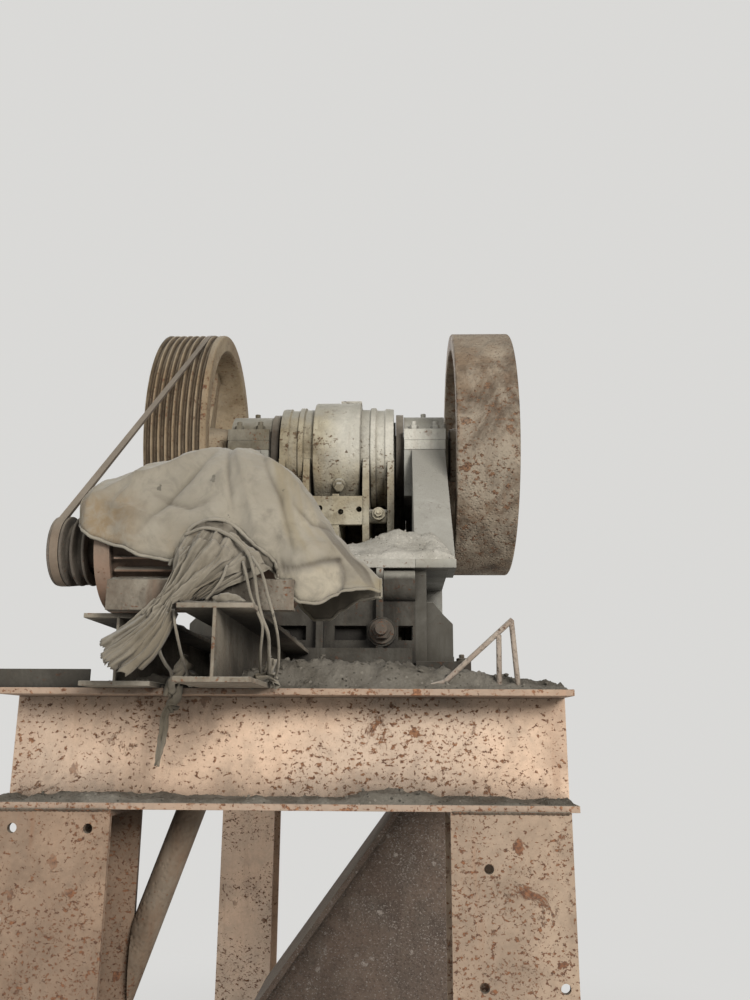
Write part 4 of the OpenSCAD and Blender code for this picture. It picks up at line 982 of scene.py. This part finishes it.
# The strip that hangs down the beam's face
TAIL = [(-240, 160, -155), (-250, 164, -180), (-252, 166.5, -210), (-257, 167, -245), (-261.5, 165.5, -282)]
rags = [flow(*row) for row in FLOWS]
for i, (points, width, folds) in enumerate(STRIPS):
    ribbon(f"sack_strip_{i + 1}", points, width, folds, 0.006, 20 + i, twist=0.5 * (-1) ** i, lean=(0.1, -1, 0.5),
           spread=lambda t: 0.8 + 0.5 * t, curl=0.012)
for i, (points, width, folds) in enumerate(LUMPS):
    ribbon(f"sack_lump_{i + 1}", points, width, folds, 0.006, 50 + i, twist=1.4 * (-1) ** i, lean=(0.1, -0.8, 0.6),
           spread=lambda t: 0.55 + 0.45 * math.sin(math.pi * min(1, t + 0.15)), curl=0.014)
ribbon("sack_tail", TAIL, 0.015, 2, 0.0025, 41, twist=0.8, lean=(0.2, -1, 0.1),
       spread=lambda t: 0.5 + 0.8 * math.sin(math.pi * (0.1 + 0.75 * t)))
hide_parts("rag_bundle")

# Twine that binds the sack and hangs over the edge: diameter and points
TWINES = [
    (0.007, [(-206, -36, 16), (-214, -44, -20), (-222, -20, -55), (-224, 40, -78), (-230, 110, -88),
             (-236, 154, -104), (-244, 166, -134)]),
    (0.006, [(-196, -30, 22), (-188, -42, -10), (-182, -20, -50), (-186, 40, -80), (-194, 110, -94),
             (-214, 150, -102), (-228, 164, -120)]),
    (0.0075, [(-198, 28, 185), (-150, 20, 198), (-100, 16, 180), (-62, 10, 145), (-44, 0, 100), (-34, -10, 50),
              (-24, -12, 12), (-12, 0, -20), (-14, 40, -55), (-22, 100, -80), (-30, 150, -94)]),
    (0.006, [(-70, 12, 126), (-58, -2, 90), (-46, -14, 50), (-30, -16, 16), (-22, -6, -10), (-30, 30, -50),
             (-40, 100, -80), (-46, 150, -96)]),
    (0.006, [(-52, 10, 136), (-28, -4, 100), (-12, -12, 50), (0, -6, 10), (6, 20, -30), (2, 70, -70), (-10, 130, -94),
             (-30, 162, -110)]),
    (0.006, [(-100, 0, 116), (-106, -14, 86), (-120, -22, 60), (-134, -24, 42)]),
]
for i, (diameter, points) in enumerate(TWINES):
    line = sack_line(points, 7)
    shape = Shape()
    tube(shape, line, diameter / 2, 8, 0.12)
    obj = shape.make(f"twine_{i + 1}", MAT["string"], rounded=True)


# Dust
def bumps(*hills):
    """Sum of rounded hills: each is x, y, half width in x and in y, height."""
    return lambda x, y: sum(h * fall(x - a, c) * fall(y - b, d) for a, b, c, d, h in hills)


CREST = bumps((0.2, -1.3, 0.17, 9, 0.05), (-0.02, -1.3, 0.12, 9, 0.042), (0.44, -1.3, 0.16, 9, 0.02),
              (-0.27, -1.3, 0.12, 9, 0.016))
SHELF = bumps((0.03, -0.42, 0.2, 0.1, 0.066), (0.26, -0.43, 0.11, 0.1, 0.1), (-0.22, -0.44, 0.1, 0.08, 0.045),
              (0.37, -0.46, 0.05, 0.1, 0.055))


def beam_heap(x, y):
    across = smooth(y, -1.428, -1.345) * (1 - smooth(y, -1.25, -1.17) * 0.6)
    lumps = 0.01 * fbm(x, y, 0, 19, 5, 0.6) + 0.004 * abs(fbm(x, y, 5, 60, 3))
    return (CREST(x, y) + 0.01) * across * (0.6 + 0.4 * smooth(x, -0.62, -0.4)) + lumps * (0.5 + across) - 0.004


def shelf_heap(x, y):
    lumps = 0.006 * fbm(x, y, 3, 24, 5, 0.6) + 0.004 * abs(fbm(x, y, 5, 70, 3))
    return SHELF(x, y) + 0.008 + lumps


def ledge_heap(x, y):
    hill = 0.016 * fall(x - 0.23, 0.09) + 0.008 * fall(x + 0.4, 0.12)
    return 0.0065 + hill + 0.01 * fbm(x, y, 2, 14, 5, 0.6) - 0.004 * smooth(-y, 1.405, 1.425)


def thin(scale, base, seed):
    """Thin uneven layer with bare places."""
    return lambda x, y: (base * (0.6 + fbm(x + seed, y - seed, seed, scale, 5, 0.6))
                         + 0.0016 * fbm(x, y, seed, scale * 6, 2))


ON_CROSS, ON_REAR = thin(8.0, 0.014, 1.7), thin(6.0, 0.009, 4.2)
ON_LEFT, ON_RIGHT = thin(9.0, 0.01, 2.9), thin(9.0, 0.01, 6.3)
HEAPS = [
    ("dust_beam_top", -BEAM_END, BEAM_END, -1.4245, -1.177, STAND_TOP, beam_heap, 0.006),
    ("dust_beam_ledge", -BEAM_END, BEAM_END, -1.424, -1.308, LEDGE_TOP, ledge_heap, 0.006),
    ("dust_shelf", -0.33, 0.428, -0.584, -0.388, SHELF_TOP, shelf_heap, 0.0055, "pale_dust"),
    ("dust_side_left", -0.604, -0.352, -1.17, 1.17, STAND_TOP, thin(5.0, 0.007, 3.3), 0.014),
    ("dust_side_right", 0.352, 0.604, -1.17, 1.17, STAND_TOP, thin(5.0, 0.007, 8.1), 0.014),
    ("dust_cross", -0.35, 0.35, -0.716, -0.592, STAND_TOP, ON_CROSS, 0.008),
    ("dust_rear_beam", -BEAM_END, BEAM_END, 1.178, 1.4245, STAND_TOP, ON_REAR, 0.012),
    ("dust_flange_left", -0.468, -0.432, -0.583, 1.08, FLANGE_TOP, ON_LEFT, 0.007),
    ("dust_flange_right", 0.432, 0.468, -0.583, 1.08, FLANGE_TOP, ON_RIGHT, 0.007),
    ("dust_carrier_1", -0.179, -0.031, -1.676, -1.5, CARRIER_TOP, thin(16.0, 0.007, 5.5), 0.005),
    ("dust_carrier_2", -0.179, -0.031, -1.24, -0.6, CARRIER_TOP, thin(9.0, 0.012, 7.7), 0.007),
    ("dust_carrier_3", -0.415, -0.267, -1.24, -0.6, CARRIER_TOP, thin(9.0, 0.012, 9.4), 0.007),
    ("dust_channel", -0.353, 0.033, -1.566, -1.532, CARRIER_TOP + 0.063, thin(14.0, 0.006, 2.2), 0.005),
]
for row in HEAPS:
    heap(*row)

# Broken stone and crumbs on the ledges: the last two of a row are the count and the largest size
STONES = {
    "dust": [
        (-0.6, 0.6, -1.415, -1.185, STAND_TOP, beam_heap, 170, 0.009),
        (-0.6, 0.6, -1.42, -1.32, LEDGE_TOP, ledge_heap, 70, 0.0055),
        (-0.34, 0.34, -0.71, -0.6, STAND_TOP, ON_CROSS, 50, 0.009),
        (0.436, 0.464, -0.57, 1.06, FLANGE_TOP, ON_RIGHT, 60, 0.0065),
        (-0.464, -0.436, -0.57, 1.06, FLANGE_TOP, ON_LEFT, 60, 0.0065),
        (-0.6, 0.6, 1.19, 1.41, STAND_TOP, ON_REAR, 60, 0.009),
    ],
    "pale_dust": [(-0.29, 0.42, -0.578, -0.4, SHELF_TOP, shelf_heap, 100, 0.0055)],
}


def stones():
    rng = random.Random(12)
    for mat, rows in STONES.items():
        shape = Shape()
        for x0, x1, y0, y1, z, height, count, size in rows:
            for _ in range(count):
                x, y = rng.uniform(x0, x1), rng.uniform(y0, y1)
                s = size * rng.uniform(0.25, 1.0) ** 1.5
                stone(shape, (x, y, z + max(0.0, height(x, y)) + s * 0.25), s, rng)
        shape.make(f"stones_{mat}", MAT[mat])


# Fasteners and welds
def fasteners():
    rng = random.Random(4)
    bolts = Shape()
    for side in (-1, 1):
        for k in range(6):
            nut(bolts, (side * 0.4495, -0.46 + 0.29 * k, FLANGE_TOP), (0, 0, 1), 0.03, 0.01, rng)
    bolts.make("flange_bolts", MAT["rust"])
    boss = Shape()
    nut(boss, (0.169, 0.0175, 2.313), (0, -1, 0), 0.03, 0.006, rng)
    boss.make("boss_nut", MAT["barrel"], "pitman")


def welds():
    rng = random.Random(9)
    shape = Shape()
    # Both ends of each column, on its outer and its inner face
    for sx in (-1, 1):
        for sy in (-1, 1):
            x0, x1 = sx * COL_X - 0.122, sx * COL_X + 0.122
            for z, size, lift in ((COLUMN_TOP, 0.0055, -1), (PLATE_TOP, 0.007, 1)):
                for y, out in ((sy * COL_OUT, sy), (sy * COL_IN, -sy)):
                    bead(shape, (x0, y, z), (x1, y, z), size, rng, (0, out, 0), (0, 0, lift))
    # Motor beams on the front beam
    for x, side in ((-0.416, -1), (-0.266, 1), (-0.18, -1), (-0.03, 1)):
        bead(shape, (x, -1.418, STAND_TOP), (x, -1.19, STAND_TOP), 0.006, rng, (side, 0, 0), (0, 0, 1))
    # Stitches under the crusher's feet
    for side in (-1, 1):
        for k in range(7):
            x, y, z = side * 0.45, -0.52 + 0.25 * k, 1.66
            bead(shape, (x, y, z), (x, y + 0.09, z), 0.006, rng, (side, 0, 0), (0, 0, -1))
    shape.make("weld_beads", MAT["rust"])


stones()
fasteners()
welds()
